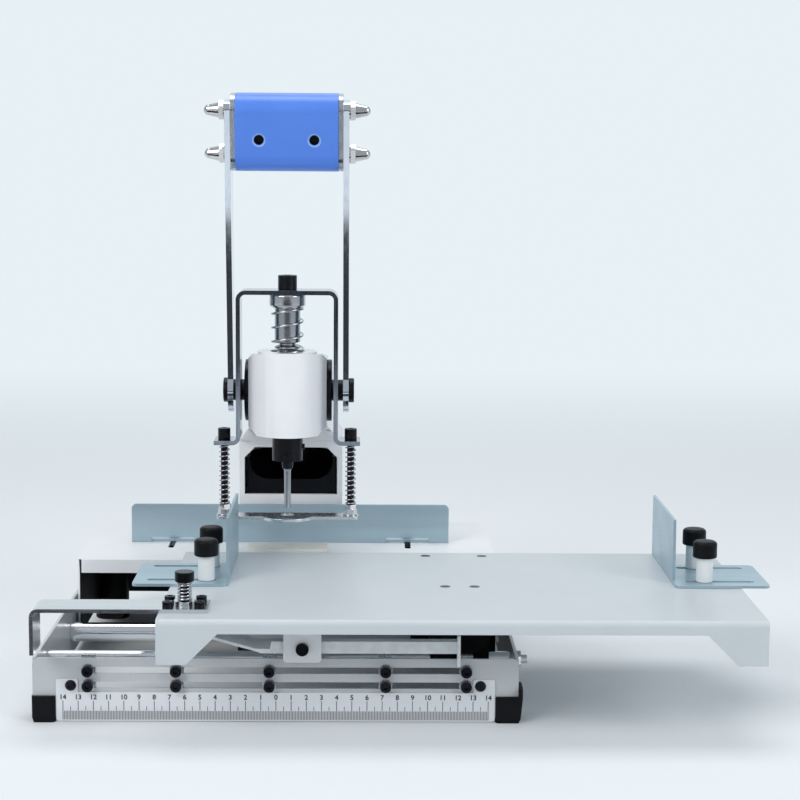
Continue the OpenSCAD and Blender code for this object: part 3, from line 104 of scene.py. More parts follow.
apart = paper_tree.nodes.new("ShaderNodeSeparateXYZ")
paper_tree.links.new(place.outputs["Object"], apart.inputs["Vector"])
backdrop = paper_tree.nodes.new("ShaderNodeMapRange")
backdrop.interpolation_type = "SMOOTHSTEP"
backdrop.inputs["From Min"].default_value = 0.2
backdrop.inputs["From Max"].default_value = 2.0
paper_tree.links.new(apart.outputs["Y"], backdrop.inputs["Value"])
seen = sight.outputs["Is Camera Ray"]
for ray in ("Is Glossy Ray", "Is Transmission Ray"):
    either = paper_tree.nodes.new("ShaderNodeMath")
    either.operation = "MAXIMUM"
    paper_tree.links.new(seen, either.inputs[0])
    paper_tree.links.new(sight.outputs[ray], either.inputs[1])
    seen = either.outputs["Value"]
share = paper_tree.nodes.new("ShaderNodeMath")
share.operation = "MULTIPLY"
paper_tree.links.new(seen, share.inputs[0])
paper_tree.links.new(backdrop.outputs["Result"], share.inputs[1])
blend_in = paper_tree.nodes.new("ShaderNodeMixShader")
paper_tree.links.new(share.outputs["Value"], blend_in.inputs["Fac"])
paper_tree.links.new(matt.outputs["BSDF"], blend_in.inputs[1])
paper_tree.links.new(bright.outputs["Emission"], blend_in.inputs[2])
paper_tree.links.new(blend_in.outputs["Shader"], paper_tree.nodes["Material Output"].inputs["Surface"])
sweep_mesh.materials.append(paper)

card_black = bpy.data.materials.new("studio_card")
card_black.use_nodes = True
card_black.node_tree.nodes["Principled BSDF"].inputs["Base Color"].default_value = (0.006, 0.008, 0.014, 1)
card_black.node_tree.nodes["Principled BSDF"].inputs["Roughness"].default_value = 0.9
card_width, card_lift = 2.4, 0.004
for name, near, far in (("card_near", -0.28, -0.93), ("card_far", -1.6, -6.0)):
    card_mesh = bpy.data.meshes.new(name)
    card_mesh.from_pydata(
        [(x * card_width / 2, y, card_lift) for x, y in ((-1, far), (1, far), (1, near), (-1, near))],
        [], [(0, 1, 2, 3)],
    )
    card_mesh.materials.append(card_black)
    card = bpy.data.objects.new(name, card_mesh)
    scene.collection.objects.link(card)
    card.visible_camera = card.visible_diffuse = card.visible_shadow = False
    card.visible_transmission = card.visible_volume_scatter = False

world = bpy.data.worlds.new("studio_air")
scene.world = world
world.use_nodes = True
world.node_tree.nodes["Background"].inputs["Color"].default_value = (0.82, 0.88, 0.94, 1)
world.node_tree.nodes["Background"].inputs["Strength"].default_value = 0.5


def soft_lamp(name, place, target, size, power, colour):
    """A rectangular lamp that is turned to face the target."""
    lamp = bpy.data.lights.new(name, "AREA")
    lamp.shape = "RECTANGLE"
    lamp.size, lamp.size_y = size
    lamp.energy = power
    lamp.color = colour
    holder = bpy.data.objects.new(name, lamp)
    holder.location = place
    holder.rotation_euler = (Vector(target) - Vector(place)).to_track_quat("-Z", "Y").to_euler()
    scene.collection.objects.link(holder)


soft_lamp("lamp_left", (-1.3, -1.5, 1.5), (0, 0, 0.15), (1.2, 1.2), 24, (1.0, 0.99, 0.97))
soft_lamp("lamp_right", (1.7, -1.2, 1.1), (0.1, 0, 0.15), (0.9, 1.4), 15, (0.95, 0.98, 1.0))
soft_lamp("lamp_top", (0.1, 0.3, 1.9), (0.05, -0.05, 0.1), (1.4, 1.0), 13, (1.0, 1.0, 1.0))

eye = Vector((0.0588, -1.4311, 0.3749))
pitch, yaw, roll = math.radians(-7.33), math.radians(0.989), math.radians(0.427)
forward = Vector((math.sin(yaw) * math.cos(pitch), math.cos(yaw) * math.cos(pitch), math.sin(pitch)))
right = Vector((math.cos(yaw), -math.sin(yaw), 0))
above = right.cross(forward)
turned_right = math.cos(roll) * right + math.sin(roll) * above
turned_above = math.cos(roll) * above - math.sin(roll) * right
lens = bpy.data.cameras.new("camera")
lens.sensor_width = 36
lens.lens = 87.4
camera = bpy.data.objects.new("camera", lens)
camera.matrix_world = Matrix.Translation(eye) @ Matrix(
    (turned_right, turned_above, -forward)
).transposed().to_4x4()
scene.collection.objects.link(camera)
scene.camera = camera


# Base frame: one sheet of steel folded into a front panel and two side walls, slotted for the index stops.
# It is sprayed pale grey, and the paint has dried to a soft gloss with a fine orange peel.
def eased(node, edge, finish, segments=2, corner=32, smooth=50):
    """The piece with its edges broken by a small radius, as filing, tumbling or moulding leaves them."""
    mesh = bpy.data.meshes.new(node + "_eased")
    shape = bmesh.new()
    shape.from_mesh(solids[node].data)
    bmesh.ops.remove_doubles(shape, verts=shape.verts, dist=2e-6)
    bmesh.ops.dissolve_limit(shape, angle_limit=math.radians(0.6), verts=shape.verts, edges=shape.edges)
    shape.to_mesh(mesh)
    shape.free()
    for layer in [a.name for a in mesh.attributes if a.name == "custom_normal"]:
        mesh.attributes.remove(mesh.attributes[layer])
    piece = bpy.data.objects.new(node + "_finished", mesh)
    scene.collection.objects.link(piece)
    bevel = piece.modifiers.new("edge", "BEVEL")
    bevel.width = edge
    bevel.segments = segments
    bevel.limit_method = "ANGLE"
    bevel.angle_limit = math.radians(corner)
    bevel.use_clamp_overlap = True
    return dressed(piece, node, finish, smooth)


def dressed(piece, node, finish, smooth):
    """Makes the piece a plain mesh with even normals, paints it and sets it in the node's place."""
    made_plain(piece)
    piece.data.shade_smooth()
    piece.data.set_sharp_from_angle(angle=math.radians(smooth))
    even = piece.modifiers.new("even", "WEIGHTED_NORMAL")
    even.keep_sharp = True
    made_plain(piece)
    piece.data.materials.clear()
    piece.data.materials.append(finish)
    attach(piece, solids[node]["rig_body"])
    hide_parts(node)
    return piece


def made_plain(piece):
    """Puts the result of the piece's modifiers in the place of its mesh."""
    depsgraph = bpy.context.evaluated_depsgraph_get()
    mesh = bpy.data.meshes.new_from_object(piece.evaluated_get(depsgraph))
    piece.modifiers.clear()
    piece.data = mesh


def speckle(tree, grain, stretch=(1, 1, 1), detail=3):
    """A noise pattern on the piece's own coordinates: grain is marks per metre, stretch draws them out."""
    place = tree.nodes.new("ShaderNodeTexCoord")
    spread = tree.nodes.new("ShaderNodeMapping")
    spread.inputs["Scale"].default_value = stretch
    noise = tree.nodes.new("ShaderNodeTexNoise")
    noise.inputs["Scale"].default_value = grain
    noise.inputs["Detail"].default_value = detail
    tree.links.new(place.outputs["Object"], spread.inputs["Vector"])
    tree.links.new(spread.outputs["Vector"], noise.inputs["Vector"])
    return noise.outputs["Fac"]


def span(tree, value, low, high, start=0.3, end=0.7):
    """Stretches a pattern's middle range to run from low to high."""
    ramp = tree.nodes.new("ShaderNodeMapRange")
    ramp.inputs["From Min"].default_value = start
    ramp.inputs["From Max"].default_value = end
    ramp.inputs["To Min"].default_value = low
    ramp.inputs["To Max"].default_value = high
    tree.links.new(value, ramp.inputs["Value"])
    return ramp.outputs["Result"]


def tint(tree, value, first, second):
    """Goes from the first colour to the second as a pattern goes from 0 to 1."""
    mix = tree.nodes.new("ShaderNodeMix")
    mix.data_type = "RGBA"
    mix.inputs["A"].default_value = (*first, 1)
    mix.inputs["B"].default_value = (*second, 1)
    tree.links.new(value, mix.inputs["Factor"])
    return mix.outputs["Result"]


def relief(tree, height, depth, strength=1.0):
    """A bump of that depth in metres from a pattern."""
    bump = tree.nodes.new("ShaderNodeBump")
    bump.inputs["Strength"].default_value = strength
    bump.inputs["Distance"].default_value = depth
    tree.links.new(height, bump.inputs["Height"])
    return bump.outputs["Normal"]


def surface(
    name, colour, shade, rough, grain, depth,
    metallic=0.0, stretch=(1, 1, 1), blotch=30.0, coat=0.0, sheen=0.5,
):
    """A finish: its colour drifts to a second shade in blotches; gloss and relief follow a fine grain."""
    material = bpy.data.materials.new(name)
    material.use_nodes = True
    tree = material.node_tree
    shader = tree.nodes["Principled BSDF"]
    shader.inputs["Metallic"].default_value = metallic
    shader.inputs["Specular IOR Level"].default_value = sheen
    shader.inputs["Coat Weight"].default_value = coat
    shader.inputs["Coat Roughness"].default_value = 0.12
    fine = speckle(tree, grain, stretch)
    broad = speckle(tree, blotch, stretch if metallic else (1, 1, 1), 4)
    tree.links.new(tint(tree, span(tree, broad, 0, 1), colour, shade), shader.inputs["Base Color"])
    tree.links.new(span(tree, fine, rough[0], rough[1]), shader.inputs["Roughness"])
    tree.links.new(relief(tree, fine, depth), shader.inputs["Normal"])
    return material


frame_paint = surface(
    "frame_enamel", (0.54, 0.565, 0.58), (0.50, 0.525, 0.545), (0.26, 0.36), 900, 1.5e-5, coat=0.25,
)
eased("base_frame", 0.0005, frame_paint)

# Corner boots: moulded black rubber shoes pushed over the frame's front corners, which stand in them.
# The rubber is matt, a little dusty and slightly uneven from the mould.
boot_rubber = surface(
    "boot_rubber", (0.0045, 0.005, 0.0065), (0.008, 0.009, 0.011), (0.42, 0.6), 1600, 6e-5, sheen=0.12,
)
eased("front_boots", 0.0012, boot_rubber, segments=3)

# Scale ruler: a satin aluminium strip screwed over the lower front edge, printed in black.
# It counts centimetres from the middle outwards, with half marks, and a band of millimetre lines below.
ruler_metal = surface(
    "ruler_aluminium", (0.80, 0.82, 0.85), (0.74, 0.76, 0.79), (0.34, 0.5), 700, 1.5e-5,
    metallic=0.2, stretch=(0.03, 1, 1), blotch=60,
)
eased("scale_ruler", 0.0002, ruler_metal, segments=1)
print_lift, print_depth = 0.00006, 0.00008
print_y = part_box("scale_ruler")[0].y - print_lift
print_ink = surface("ruler_ink", (0.012, 0.012, 0.014), (0.03, 0.03, 0.034), (0.4, 0.55), 3000, 2e-6)
band_ink = surface("ruler_band_ink", (0.06, 0.063, 0.066), (0.10, 0.105, 0.11), (0.4, 0.55), 3000, 2e-6)

# Each row of printed lines: how many, millimetres between them, line width, lowest and highest height.
line_rows = [
    ("centimetre", 29, 10.0, 0.42, 7.6, 14.2),
    ("half", 28, 10.0, 0.34, 7.6, 10.6),
    ("millimetre", 281, 1.0, 0.45, 1.5, 7.4),
]


def line_tree(rows):
    """The node tree that sets out each row's lines on the ruler's face."""
    tree = bpy.data.node_groups.new("ruler_lines", "GeometryNodeTree")
    tree.interface.new_socket("Geometry", in_out="INPUT", socket_type="NodeSocketGeometry")
    tree.interface.new_socket("Print depth", in_out="INPUT", socket_type="NodeSocketFloat")
    tree.interface.new_socket("Geometry", in_out="OUTPUT", socket_type="NodeSocketGeometry")
    entry = tree.nodes.new("NodeGroupInput")
    leave = tree.nodes.new("NodeGroupOutput")
    gather = tree.nodes.new("GeometryNodeJoinGeometry")
    for name, count, pitch, width, low, high in rows:
        row = tree.nodes.new("GeometryNodeMeshLine")
        row.inputs["Count"].default_value = count
        row.inputs["Start Location"].default_value = (
            -pitch * (count - 1) / 2000, print_y, (low + high) / 2000
        )
        row.inputs["Offset"].default_value = (pitch / 1000, 0, 0)
        stroke = tree.nodes.new("GeometryNodeMeshCube")
        size = tree.nodes.new("ShaderNodeCombineXYZ")
        size.inputs["X"].default_value = width / 1000
        size.inputs["Z"].default_value = (high - low) / 1000
        tree.links.new(entry.outputs["Print depth"], size.inputs["Y"])
        tree.links.new(size.outputs["Vector"], stroke.inputs["Size"])
        repeat = tree.nodes.new("GeometryNodeInstanceOnPoints")
        tree.links.new(row.outputs["Mesh"], repeat.inputs["Points"])
        tree.links.new(stroke.outputs["Mesh"], repeat.inputs["Instance"])
        real = tree.nodes.new("GeometryNodeRealizeInstances")
        tree.links.new(repeat.outputs["Instances"], real.inputs["Geometry"])
        paint = tree.nodes.new("GeometryNodeSetMaterial")
        paint.inputs["Material"].default_value = band_ink if name == "millimetre" else print_ink
        tree.links.new(real.outputs["Geometry"], paint.inputs["Geometry"])
        tree.links.new(paint.outputs["Geometry"], gather.inputs["Geometry"])
    tree.links.new(gather.outputs["Geometry"], leave.inputs["Geometry"])
    return tree


def grown(name, tree, values, start=None):
    """Runs a node tree on a start mesh and returns the result as a plain mesh object at the origin."""
    seed = bpy.data.objects.new(name, start or bpy.data.meshes.new(name + "_start"))
    scene.collection.objects.link(seed)
    modifier = seed.modifiers.new("grow", "NODES")
    modifier.node_group = tree
    sockets = {s.name: s.identifier for s in tree.interface.items_tree if s.in_out == "INPUT"}
    for label, value in values.items():
        modifier[sockets[label]] = value
    made_plain(seed)
    return seed


ruler_lines = grown("ruler_lines", line_tree(line_rows), {"Print depth": print_depth})
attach(ruler_lines, "base")

numeral_height, numeral_z = 0.0046, 0.0152
numeral_depth, numeral_weight = 0.00001, 0.00011
stand_up = Matrix.Rotation(math.radians(90), 4, "X")
numeral_shape = bmesh.new()
for centimetre in range(-14, 15):
    numeral = bpy.data.curves.new("numeral", "FONT")
    numeral.body = str(abs(centimetre))
    numeral.size = numeral_height
    numeral.align_x = "CENTER"
    numeral.extrude = numeral_depth
    numeral.bevel_depth = numeral_weight
    numeral.bevel_resolution = 0
    holder = bpy.data.objects.new("numeral", numeral)
    scene.collection.objects.link(holder)
    depsgraph = bpy.context.evaluated_depsgraph_get()
    letter = bpy.data.meshes.new_from_object(holder.evaluated_get(depsgraph))
    letter.transform(Matrix.Translation((centimetre / 100, print_y, numeral_z)) @ stand_up)
    numeral_shape.from_mesh(letter)
    bpy.data.objects.remove(holder)
    bpy.data.curves.remove(numeral)
    bpy.data.meshes.remove(letter)
numeral_mesh = bpy.data.meshes.new("ruler_numerals")
numeral_shape.to_mesh(numeral_mesh)
numeral_shape.free()
numeral_mesh.materials.clear()
numeral_mesh.materials.append(print_ink)
ruler_numerals = bpy.data.objects.new("ruler_numerals", numeral_mesh)
scene.collection.objects.link(ruler_numerals)
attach(ruler_numerals, "base")

# Pedestal and rear legs: a cast iron block under the column and the cutting pad, painted matt black.
# The legs are round black posts at the rear corners that the housing's skirts are screwed to.
base_iron = surface(
    "base_iron", (0.010, 0.0105, 0.012), (0.022, 0.022, 0.025), (0.5, 0.7), 500, 1.2e-4, sheen=0.3,
)
eased("anvil_base", 0.0012, base_iron)
leg_plastic = surface(
    "leg_plastic", (0.0045, 0.005, 0.006), (0.008, 0.0085, 0.010), (0.4, 0.55), 1400, 3e-5, sheen=0.15,
)
eased("rear_legs", 0.0012, leg_plastic)

# Rear housing: a folded sheet tray turned over the pedestal and the legs, sprayed satin white.
# Its inside faces are painted near-black as painted shade; the column stands on it and the back gauge
# slides on it.
housing_paint = surface(
    "housing_enamel", (0.80, 0.815, 0.835), (0.78, 0.795, 0.815), (0.4, 0.46), 300, 1e-6,
)
housing = eased("rear_housing", 0.0008, housing_paint, segments=3)
# Painted shade: a near-black colour for the tray's inside faces, standing in for the shade under the tray.
housing_inside_painted_shade = surface(
    "housing_inside_painted_shade", (0.010, 0.011, 0.012), (0.018, 0.019, 0.021), (0.5, 0.65), 700, 2e-5, sheen=0.25,
)
housing_low, housing_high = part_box("rear_housing")
inner_skin = 0.0018
lip_edge = 0.0005


def painted_where(piece, finish, holds):
    """Gives a second finish to the faces whose middle passes the test."""
    piece.data.materials.append(finish)
    number = len(piece.data.materials) - 1
    for face in piece.data.polygons:
        if holds(face.center):
            face.material_index = number


def inside_housing(middle):
    """Tells a point on the tray's inside faces from one on its outside."""
    return (
        abs(middle.x) < housing_high.x - inner_skin and middle.z < housing_high.z - inner_skin
        and housing_low.y + lip_edge < middle.y < housing_high.y - inner_skin
    )


# The tray's inside faces take the painted shade.
painted_where(housing, housing_inside_painted_shade, inside_housing)

# Frame screws: black oxide button heads with hexagon sockets, holding the housing's skirts and the ruler.
# The oiled oxide is nearly black, with a soft sheen and a faint blue cast.
screw_oxide = surface(
    "screw_oxide", (0.020, 0.022, 0.028), (0.030, 0.030, 0.034), (0.24, 0.4), 2600, 1e-5, metallic=1.0,
)
eased("frame_screws", 0.0003, screw_oxide)

# Cutting pad: a block of cream nylon under the drill that the bit runs out into.
# It lies on the pedestal and is roughened by use.
pad_nylon = surface(
    "pad_nylon", (0.78, 0.77, 0.72), (0.70, 0.69, 0.64), (0.4, 0.55), 420, 1.5e-4, blotch=120,
)
eased("cutting_pad", 0.0006, pad_nylon)

# Guide rods: ground and chromed bars across the frame, a thick one that carries the table and a thin one.
# Their turned ends sit in the side walls, and a bright nut holds the thin one on the right.
rod_chrome = surface(
    "rod_chrome", (0.86, 0.875, 0.90), (0.76, 0.78, 0.81), (0.08, 0.16), 900, 2e-6,
    metallic=1.0, stretch=(0.02, 1, 1),
)
eased("rear_guide_rod", 0.0005, rod_chrome)
eased("front_guide_rod", 0.0004, rod_chrome)
eased("rod_end_nuts", 0.0003, rod_chrome)

# Index stops: zinc blocks behind the panel, each clamped through the slots by two black socket screws.
# They are set along the scale and catch the table at each hole's place; the washers are bright.
stop_zinc = surface(
    "stop_zinc", (0.62, 0.65, 0.68), (0.5, 0.53, 0.56), (0.2, 0.34), 1500, 8e-6, metallic=0.9,
)
stop_count, washer_reach = 5, 0.00108
washer_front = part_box("base_frame")[0].y - washer_reach
for number in range(1, stop_count + 1):
    stop = eased(f"index_stop_{number}", 0.0003, screw_oxide)
    painted_where(stop, stop_zinc, lambda middle: middle.y > washer_front)

# Column and head: one hollow casting, filled, rubbed down and sprayed gloss white, bolted on from below.
# Thick paint softens every edge; the window at the front opens on the black chip guard.
casting_paint = surface(
    "casting_enamel", (0.90, 0.90, 0.92), (0.87, 0.875, 0.89), (0.12, 0.2), 260, 1e-5, coat=0.5,
)
eased("column_casting", 0.0016, casting_paint, segments=4)
guard_plastic = surface(
    "guard_plastic", (0.004, 0.0045, 0.007), (0.006, 0.007, 0.010), (0.16, 0.26), 900, 1e-6, sheen=0.14,
)
guard_edge, edge_skin = 0.0005, 0.00001
guard = eased("chip_guard", guard_edge, guard_plastic)
# Painted highlight: the guard's broken front edge gets a pale blue-grey colour for the highlight line along
# its lip.
lip_painted_highlight = surface("guard_lip_painted_highlight", (0.45, 0.50, 0.56), (0.55, 0.60, 0.66), (0.2, 0.3), 900, 1e-6)
guard_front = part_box("chip_guard")[0].y


def on_guard_lip(middle):
    """Tells a point on the guard's broken front edge from one on its flat front."""
    return guard_front + edge_skin < middle.y < guard_front + guard_edge - edge_skin


# The guard's front edge takes the painted highlight.
painted_where(guard, lip_painted_highlight, on_guard_lip)
eased("column_bolts", 0.0003, screw_oxide)

# Bearing flanges and spindle bushes: blackened steel covers beside the head, bronze rings inside it.
# The flanges carry the pinion shaft, the bushes guide the spindle.
eased("bearing_flanges", 0.0005, screw_oxide)
bush_bronze = surface(
    "bush_bronze", (0.50, 0.31, 0.13), (0.38, 0.22, 0.09), (0.2, 0.34), 1500, 8e-6,
    metallic=1.0, stretch=(1, 1, 0.05),
)
eased("head_bushes", 0.0003, bush_bronze)


# Springs: drawn steel wire, wound with a closed part at each end so that they stand square.
# The return spring lifts the spindle; those on the presser rods and under the button are thinner.
def wire_tree():
    """The node tree that sweeps round wire along its start mesh's edges."""
    tree = bpy.data.node_groups.new("wound_wire", "GeometryNodeTree")
    tree.interface.new_socket("Geometry", in_out="INPUT", socket_type="NodeSocketGeometry")
    tree.interface.new_socket("Wire radius", in_out="INPUT", socket_type="NodeSocketFloat")
    tree.interface.new_socket("Finish", in_out="INPUT", socket_type="NodeSocketMaterial")
    tree.interface.new_socket("Geometry", in_out="OUTPUT", socket_type="NodeSocketGeometry")
    entry = tree.nodes.new("NodeGroupInput")
    leave = tree.nodes.new("NodeGroupOutput")
    path = tree.nodes.new("GeometryNodeMeshToCurve")
    section = tree.nodes.new("GeometryNodeCurvePrimitiveCircle")
    section.inputs["Resolution"].default_value = 10
    sweep_wire = tree.nodes.new("GeometryNodeCurveToMesh")
    sweep_wire.inputs["Fill Caps"].default_value = True
    real = tree.nodes.new("GeometryNodeRealizeInstances")
    paint = tree.nodes.new("GeometryNodeSetMaterial")
    tree.links.new(entry.outputs["Geometry"], path.inputs["Mesh"])
    tree.links.new(entry.outputs["Wire radius"], section.inputs["Radius"])
    tree.links.new(path.outputs["Curve"], sweep_wire.inputs["Curve"])
    tree.links.new(section.outputs["Curve"], sweep_wire.inputs["Profile Curve"])
    tree.links.new(sweep_wire.outputs["Mesh"], real.inputs["Geometry"])
    tree.links.new(real.outputs["Geometry"], paint.inputs["Geometry"])
    tree.links.new(entry.outputs["Finish"], paint.inputs["Material"])
    tree.links.new(paint.outputs["Geometry"], leave.inputs["Geometry"])
    return tree


wound_wire = wire_tree()
spring_steel = surface(
    "spring_steel", (0.62, 0.63, 0.65), (0.45, 0.46, 0.48), (0.16, 0.28), 1800, 8e-6, metallic=1.0,
)


def coil(axes, radius, wire, low, high, turns, closed=1.0, begin=0.0):
    """The centre lines of like springs: a closed part of a turn at each end and open turns between them."""
    points, lines = [], []
    per_turn, closed_pitch = 32, 0.92
    rise = high - low - wire
    shut = wire * closed_pitch * closed
    for x, y in axes:
        first = len(points)
        total = round((turns + 2 * closed) * per_turn)
        for i in range(total + 1):
            turn = i / per_turn
            if turn < closed:
                z = shut * turn / closed
            elif turn > turns + closed:
                z = rise - shut * (turns + 2 * closed - turn) / closed
            else:
                z = shut + (rise - 2 * shut) * (turn - closed) / turns
            angle = 2 * math.pi * (turn + begin)
            points.append((x + radius * math.cos(angle), y + radius * math.sin(angle), low + wire / 2 + z))
        lines += [(k, k + 1) for k in range(first, len(points) - 1)]
    path = bpy.data.meshes.new("coil_path")
    path.from_pydata(points, lines, [])
    return path


def wound(name, path, wire, node):
    """A spring's wire, set in its node's place."""
    spring = grown(name, wound_wire, {"Wire radius": wire / 2, "Finish": spring_steel}, path)
    spring.data.shade_smooth()
    spring.data.set_sharp_from_angle(angle=math.radians(50))
    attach(spring, solids[node]["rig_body"])
    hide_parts(node)
    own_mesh(spring)


spring_low, spring_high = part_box("return_spring")
return_wire, return_turns, return_closed, return_begin = 0.0015, 3.5, 0.25, 0.1
return_radius = (spring_high.x - spring_low.x - return_wire) / 2
return_path = coil(
    [(0, 0)], return_radius, return_wire, spring_low.z, spring_high.z,
    return_turns, return_closed, return_begin,
)
wound(
    "return_spring_wire", return_path, return_wire,
    "return_spring",
)

# Lever: two bright zinc-plated flat bars, keyed to the pinion shaft and joined by the grip at the top.
# Rolled steel shows fine lines along the bars, and the plating a faint blue.
arm_zinc = surface(
    "arm_zinc", (0.80, 0.85, 0.92), (0.66, 0.71, 0.78), (0.06, 0.13), 1100, 2e-6,
    metallic=1.0, stretch=(1, 1, 0.03), blotch=45,
)
eased("lever_arms", 0.0005, arm_zinc)

# Grip: a moulded block of blue plastic with well rounded edges and two sunk holes at the front.
# The surface is satin, with a faint flow of lighter colour from the mould; zinc plates cover its ends.
grip_plastic = surface(
    "grip_plastic", (0.075, 0.21, 0.72), (0.085, 0.23, 0.76), (0.3, 0.4), 1500, 6e-6, coat=0.1,
)
grip = eased("grip", 0.0008, grip_plastic, segments=3)
# Painted highlight: a lighter blue round each hole's rim, for the light that the rim catches.
rim_painted_highlight = surface("grip_rim_painted_highlight", (0.24, 0.42, 0.80), (0.28, 0.46, 0.84), (0.25, 0.35), 1500, 4e-6)
# Painted shade: a near-black colour inside each hole, for the shade in it.
hole_painted_shade = surface("grip_hole_painted_shade", (0.005, 0.006, 0.012), (0.010, 0.012, 0.02), (0.5, 0.7), 1500, 1e-5)
grip_lean = math.radians(8.5)
hole_reach, hole_up, hole_radius, hole_depth = 0.020, 0.1915, 0.0035, 0.009
rim_width, rim_depth, hole_skin, grip_half = 0.0014, 0.0011, 0.0001, 0.018
swing = next(j for j in frame["joints"] if j["name"] == "lever_swing")
lever_pivot = Vector(swing["pos_m"])


def grip_hole_place(middle):
    """How far a point is from the nearer hole's axis, and how far behind the grip's front face."""
    upright = Matrix.Rotation(-grip_lean, 3, "X") @ (middle - lever_pivot)
    return math.hypot(abs(upright.x) - hole_reach, upright.z - hole_up), upright.y + grip_half


def on_hole_rim(middle):
    """Tells a point on the rim round a hole."""
    off, behind = grip_hole_place(middle)
    return off < hole_radius + rim_width and behind < rim_depth


def in_hole(middle):
    """Tells a point on the inside of a hole."""
    off, behind = grip_hole_place(middle)
    return off < hole_radius + hole_skin and rim_depth < behind < hole_depth


# The rims round the holes take the painted highlight.
painted_where(grip, rim_painted_highlight, on_hole_rim)
# The insides of the holes take the painted shade.
painted_where(grip, hole_painted_shade, in_hole)
plate_zinc = surface(
    "plate_zinc", (0.58, 0.62, 0.67), (0.46, 0.49, 0.54), (0.2, 0.34), 900, 1.5e-5,
    metallic=1.0, stretch=(1, 1, 0.05),
)
eased("grip_end_plates", 0.0004, plate_zinc)

# Grip bolts: two rods right through the grip, with washers and bright acorn nuts outside the arms.
# The nuts are polished and nickel plated.
nut_nickel = surface(
    "nut_nickel", (0.72, 0.72, 0.72), (0.60, 0.60, 0.61), (0.07, 0.15), 700, 8e-6, metallic=1.0,
)
eased("grip_bolts", 0.0003, nut_nickel, smooth=40)

# Pinion shaft and end caps: blackened steel that turns with the arms.
# The pinion on the shaft is left in plain cut steel.
eased("pinion_shaft", 0.0003, screw_oxide)
gear_steel = surface(
    "gear_steel", (0.30, 0.30, 0.31), (0.20, 0.20, 0.21), (0.25, 0.4), 1400, 1e-5,
    metallic=1.0, stretch=(0.05, 1, 1),
)
eased("pinion_gear", 0.0001, gear_steel, segments=1)
eased("pivot_caps", 0.0008, screw_oxide, segments=3)

# Yoke: a flat bar bent into a bridge over the spindle, with a foot at each side for the presser rods.
# Like the arms it is zinc on rolled steel with fine lines along the bar; its colour is painted darker, as a
# painted reflection of dark surroundings.
# Painted reflection: a darker copy of the arms' zinc, standing in for the dark surroundings that the yoke
# reflects.
yoke_zinc_painted_reflection = surface(
    "yoke_zinc_painted_reflection", (0.36, 0.39, 0.45), (0.26, 0.29, 0.34), (0.08, 0.16), 1100, 4e-6,
    metallic=1.0, stretch=(1, 1, 0.04), blotch=50,
)
eased("yoke_strap", 0.0004, yoke_zinc_painted_reflection)

# Spindle and collar: ground steel, with ring grooves that the pinion's teeth run in.
# The collar is turned and chromed and takes the return spring; a black screw holds the yoke on it.
spindle_steel = surface(
    "spindle_steel", (0.50, 0.52, 0.55), (0.36, 0.38, 0.41), (0.1, 0.22), 2400, 8e-6,
    metallic=1.0, stretch=(0.05, 0.05, 1),
)
eased("spindle", 0.0001, spindle_steel, segments=1)
collar_chrome = surface(
    "collar_chrome", (0.70, 0.71, 0.73), (0.58, 0.59, 0.61), (0.08, 0.18), 2600, 6e-6,
    metallic=1.0, stretch=(0.05, 0.05, 1),
)
eased("spindle_collar", 0.0004, collar_chrome)
eased("yoke_screw", 0.0005, screw_oxide)

# Chuck, collet nut and hollow bit: a blackened chuck with grub screws, a black nut and a ground tube.
# The bit is sharpened at its rim, and the cores that it cuts leave through its bore.
eased("drill_chuck", 0.0004, screw_oxide)
eased("collet_nut", 0.0003, screw_oxide)
bit_steel = surface(
    "bit_steel", (0.50, 0.51, 0.53), (0.38, 0.39, 0.41), (0.14, 0.26), 1600, 8e-6,
    metallic=1.0, stretch=(1, 1, 0.05),
)
eased("drill_bit", 0.0001, bit_steel, segments=1)

# Presser: a blue-white zinc plate on two black rods, with washers, nuts and springs, hung from the yoke.
# The plate is stamped, so its edges are slightly rolled.
presser_zinc = surface(
    "presser_zinc", (0.66, 0.71, 0.74), (0.54, 0.59, 0.63), (0.16, 0.3), 600, 1e-5, metallic=0.9,
)
eased("presser_plate", 0.0005, presser_zinc)
eased("presser_rods", 0.0004, screw_oxide)
eased("presser_nuts", 0.0003, nut_nickel)
presser_low, presser_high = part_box("presser_springs")
presser_reach, presser_radius, presser_wire, presser_turns = 0.047, 0.0036, 0.001, 12
presser_path = coil(
    [(-presser_reach, 0), (presser_reach, 0)], presser_radius, presser_wire,
    presser_low.z, presser_high.z, presser_turns,
)
wound(
    "presser_spring_wires", presser_path, presser_wire,
    "presser_springs",
)

# Table: a folded sheet with a front apron that is deeper at both ends, powder coated pale grey.
# It slides on the rods on a black bearing block with bronze bushes and a black shoe.
table_powder = surface(
    "table_powder", (0.55, 0.59, 0.62), (0.53, 0.57, 0.60), (0.36, 0.44), 1500, 6e-6, coat=0.05,
)
eased("table_top", 0.0004, table_powder)
eased("table_screws", 0.0003, screw_oxide)
eased("bearing_block", 0.0008, leg_plastic)
eased("linear_bushes", 0.0003, bush_bronze)
eased("front_slider", 0.0006, leg_plastic)

# Handle: a zinc strap bolted to the table's left end and bent down at its tip, with a rubber pad below.
# The hand pulls the table by it while the thumb works the button.
strap_zinc = surface(
    "strap_zinc", (0.74, 0.76, 0.79), (0.62, 0.64, 0.67), (0.16, 0.28), 900, 5e-6,
    metallic=1.0, stretch=(0.04, 1, 1),
)
eased("handle_strap", 0.0006, strap_zinc, segments=3)
eased("handle_pad", 0.0008, boot_rubber, segments=3)

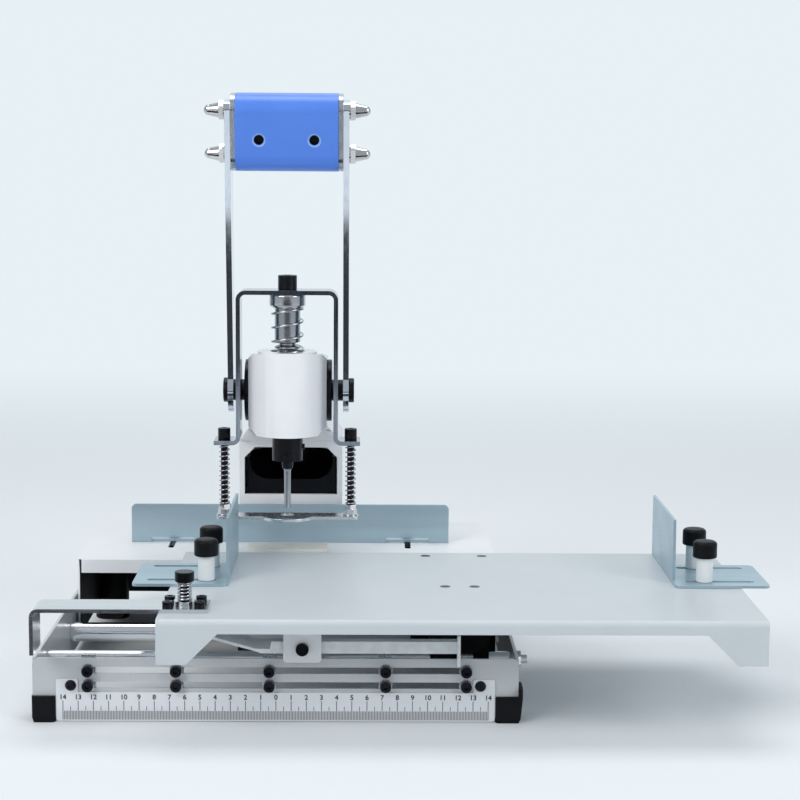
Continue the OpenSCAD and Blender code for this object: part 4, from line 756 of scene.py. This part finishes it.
# Index button and rocker: the sprung black button tips a steel rocker under the table.
# The rocker hangs on a screw in a white bracket, and its finger lifts clear of the stops.
eased("index_button", 0.0006, screw_oxide, segments=3)
button_low, button_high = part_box("button_spring")
button_axis = ((button_low.x + button_high.x) / 2, (button_low.y + button_high.y) / 2)
button_radius, button_wire, button_turns = 0.0044, 0.0012, 4
button_path = coil([button_axis], button_radius, button_wire, button_low.z, button_high.z, button_turns)
wound(
    "button_spring_wire", button_path, button_wire,
    "button_spring",
)
rocker_zinc = surface(
    "rocker_zinc", (0.86, 0.88, 0.90), (0.74, 0.76, 0.78), (0.4, 0.55), 400, 4e-6,
    metallic=0.25, blotch=160,
)
eased("index_rocker", 0.0004, rocker_zinc)
bracket_paint = surface(
    "bracket_enamel", (0.76, 0.78, 0.79), (0.72, 0.74, 0.76), (0.28, 0.38), 900, 3e-5, coat=0.2,
)
eased("rocker_bracket", 0.0004, bracket_paint)
eased("rocker_pivot", 0.0004, screw_oxide)

# Side guides: blue-white zinc angles that slide along the table as fences.
# Each is clamped by two black knobs on white nylon sleeves.
sheet_zinc = surface(
    "sheet_zinc", (0.44, 0.57, 0.64), (0.37, 0.50, 0.57), (0.3, 0.42), 500, 3e-6,
    metallic=0.6, stretch=(0.06, 1, 1), blotch=40,
)
eased("left_guide", 0.0004, sheet_zinc)
eased("right_guide", 0.0004, sheet_zinc)
sleeve_nylon = surface("sleeve_nylon", (0.80, 0.82, 0.82), (0.74, 0.77, 0.78), (0.32, 0.46), 700, 3e-5)
eased("clamp_sleeves", 0.0006, sleeve_nylon, segments=3)
knob_plastic = surface(
    "knob_plastic", (0.0035, 0.004, 0.0055), (0.006, 0.007, 0.009), (0.34, 0.48), 1800, 2e-5, sheen=0.14,
)
for corner in ("lf", "lr", "rf", "rr"):
    eased(f"guide_knob_{corner}", 0.0008, knob_plastic, segments=3)

# Back gauge: a blue-white zinc angle that stands across the housing as the rear fence.
# Its feet are behind the wall, each clamped by a stud and two nuts through a slot in the housing.
eased("back_gauge", 0.0004, sheet_zinc)
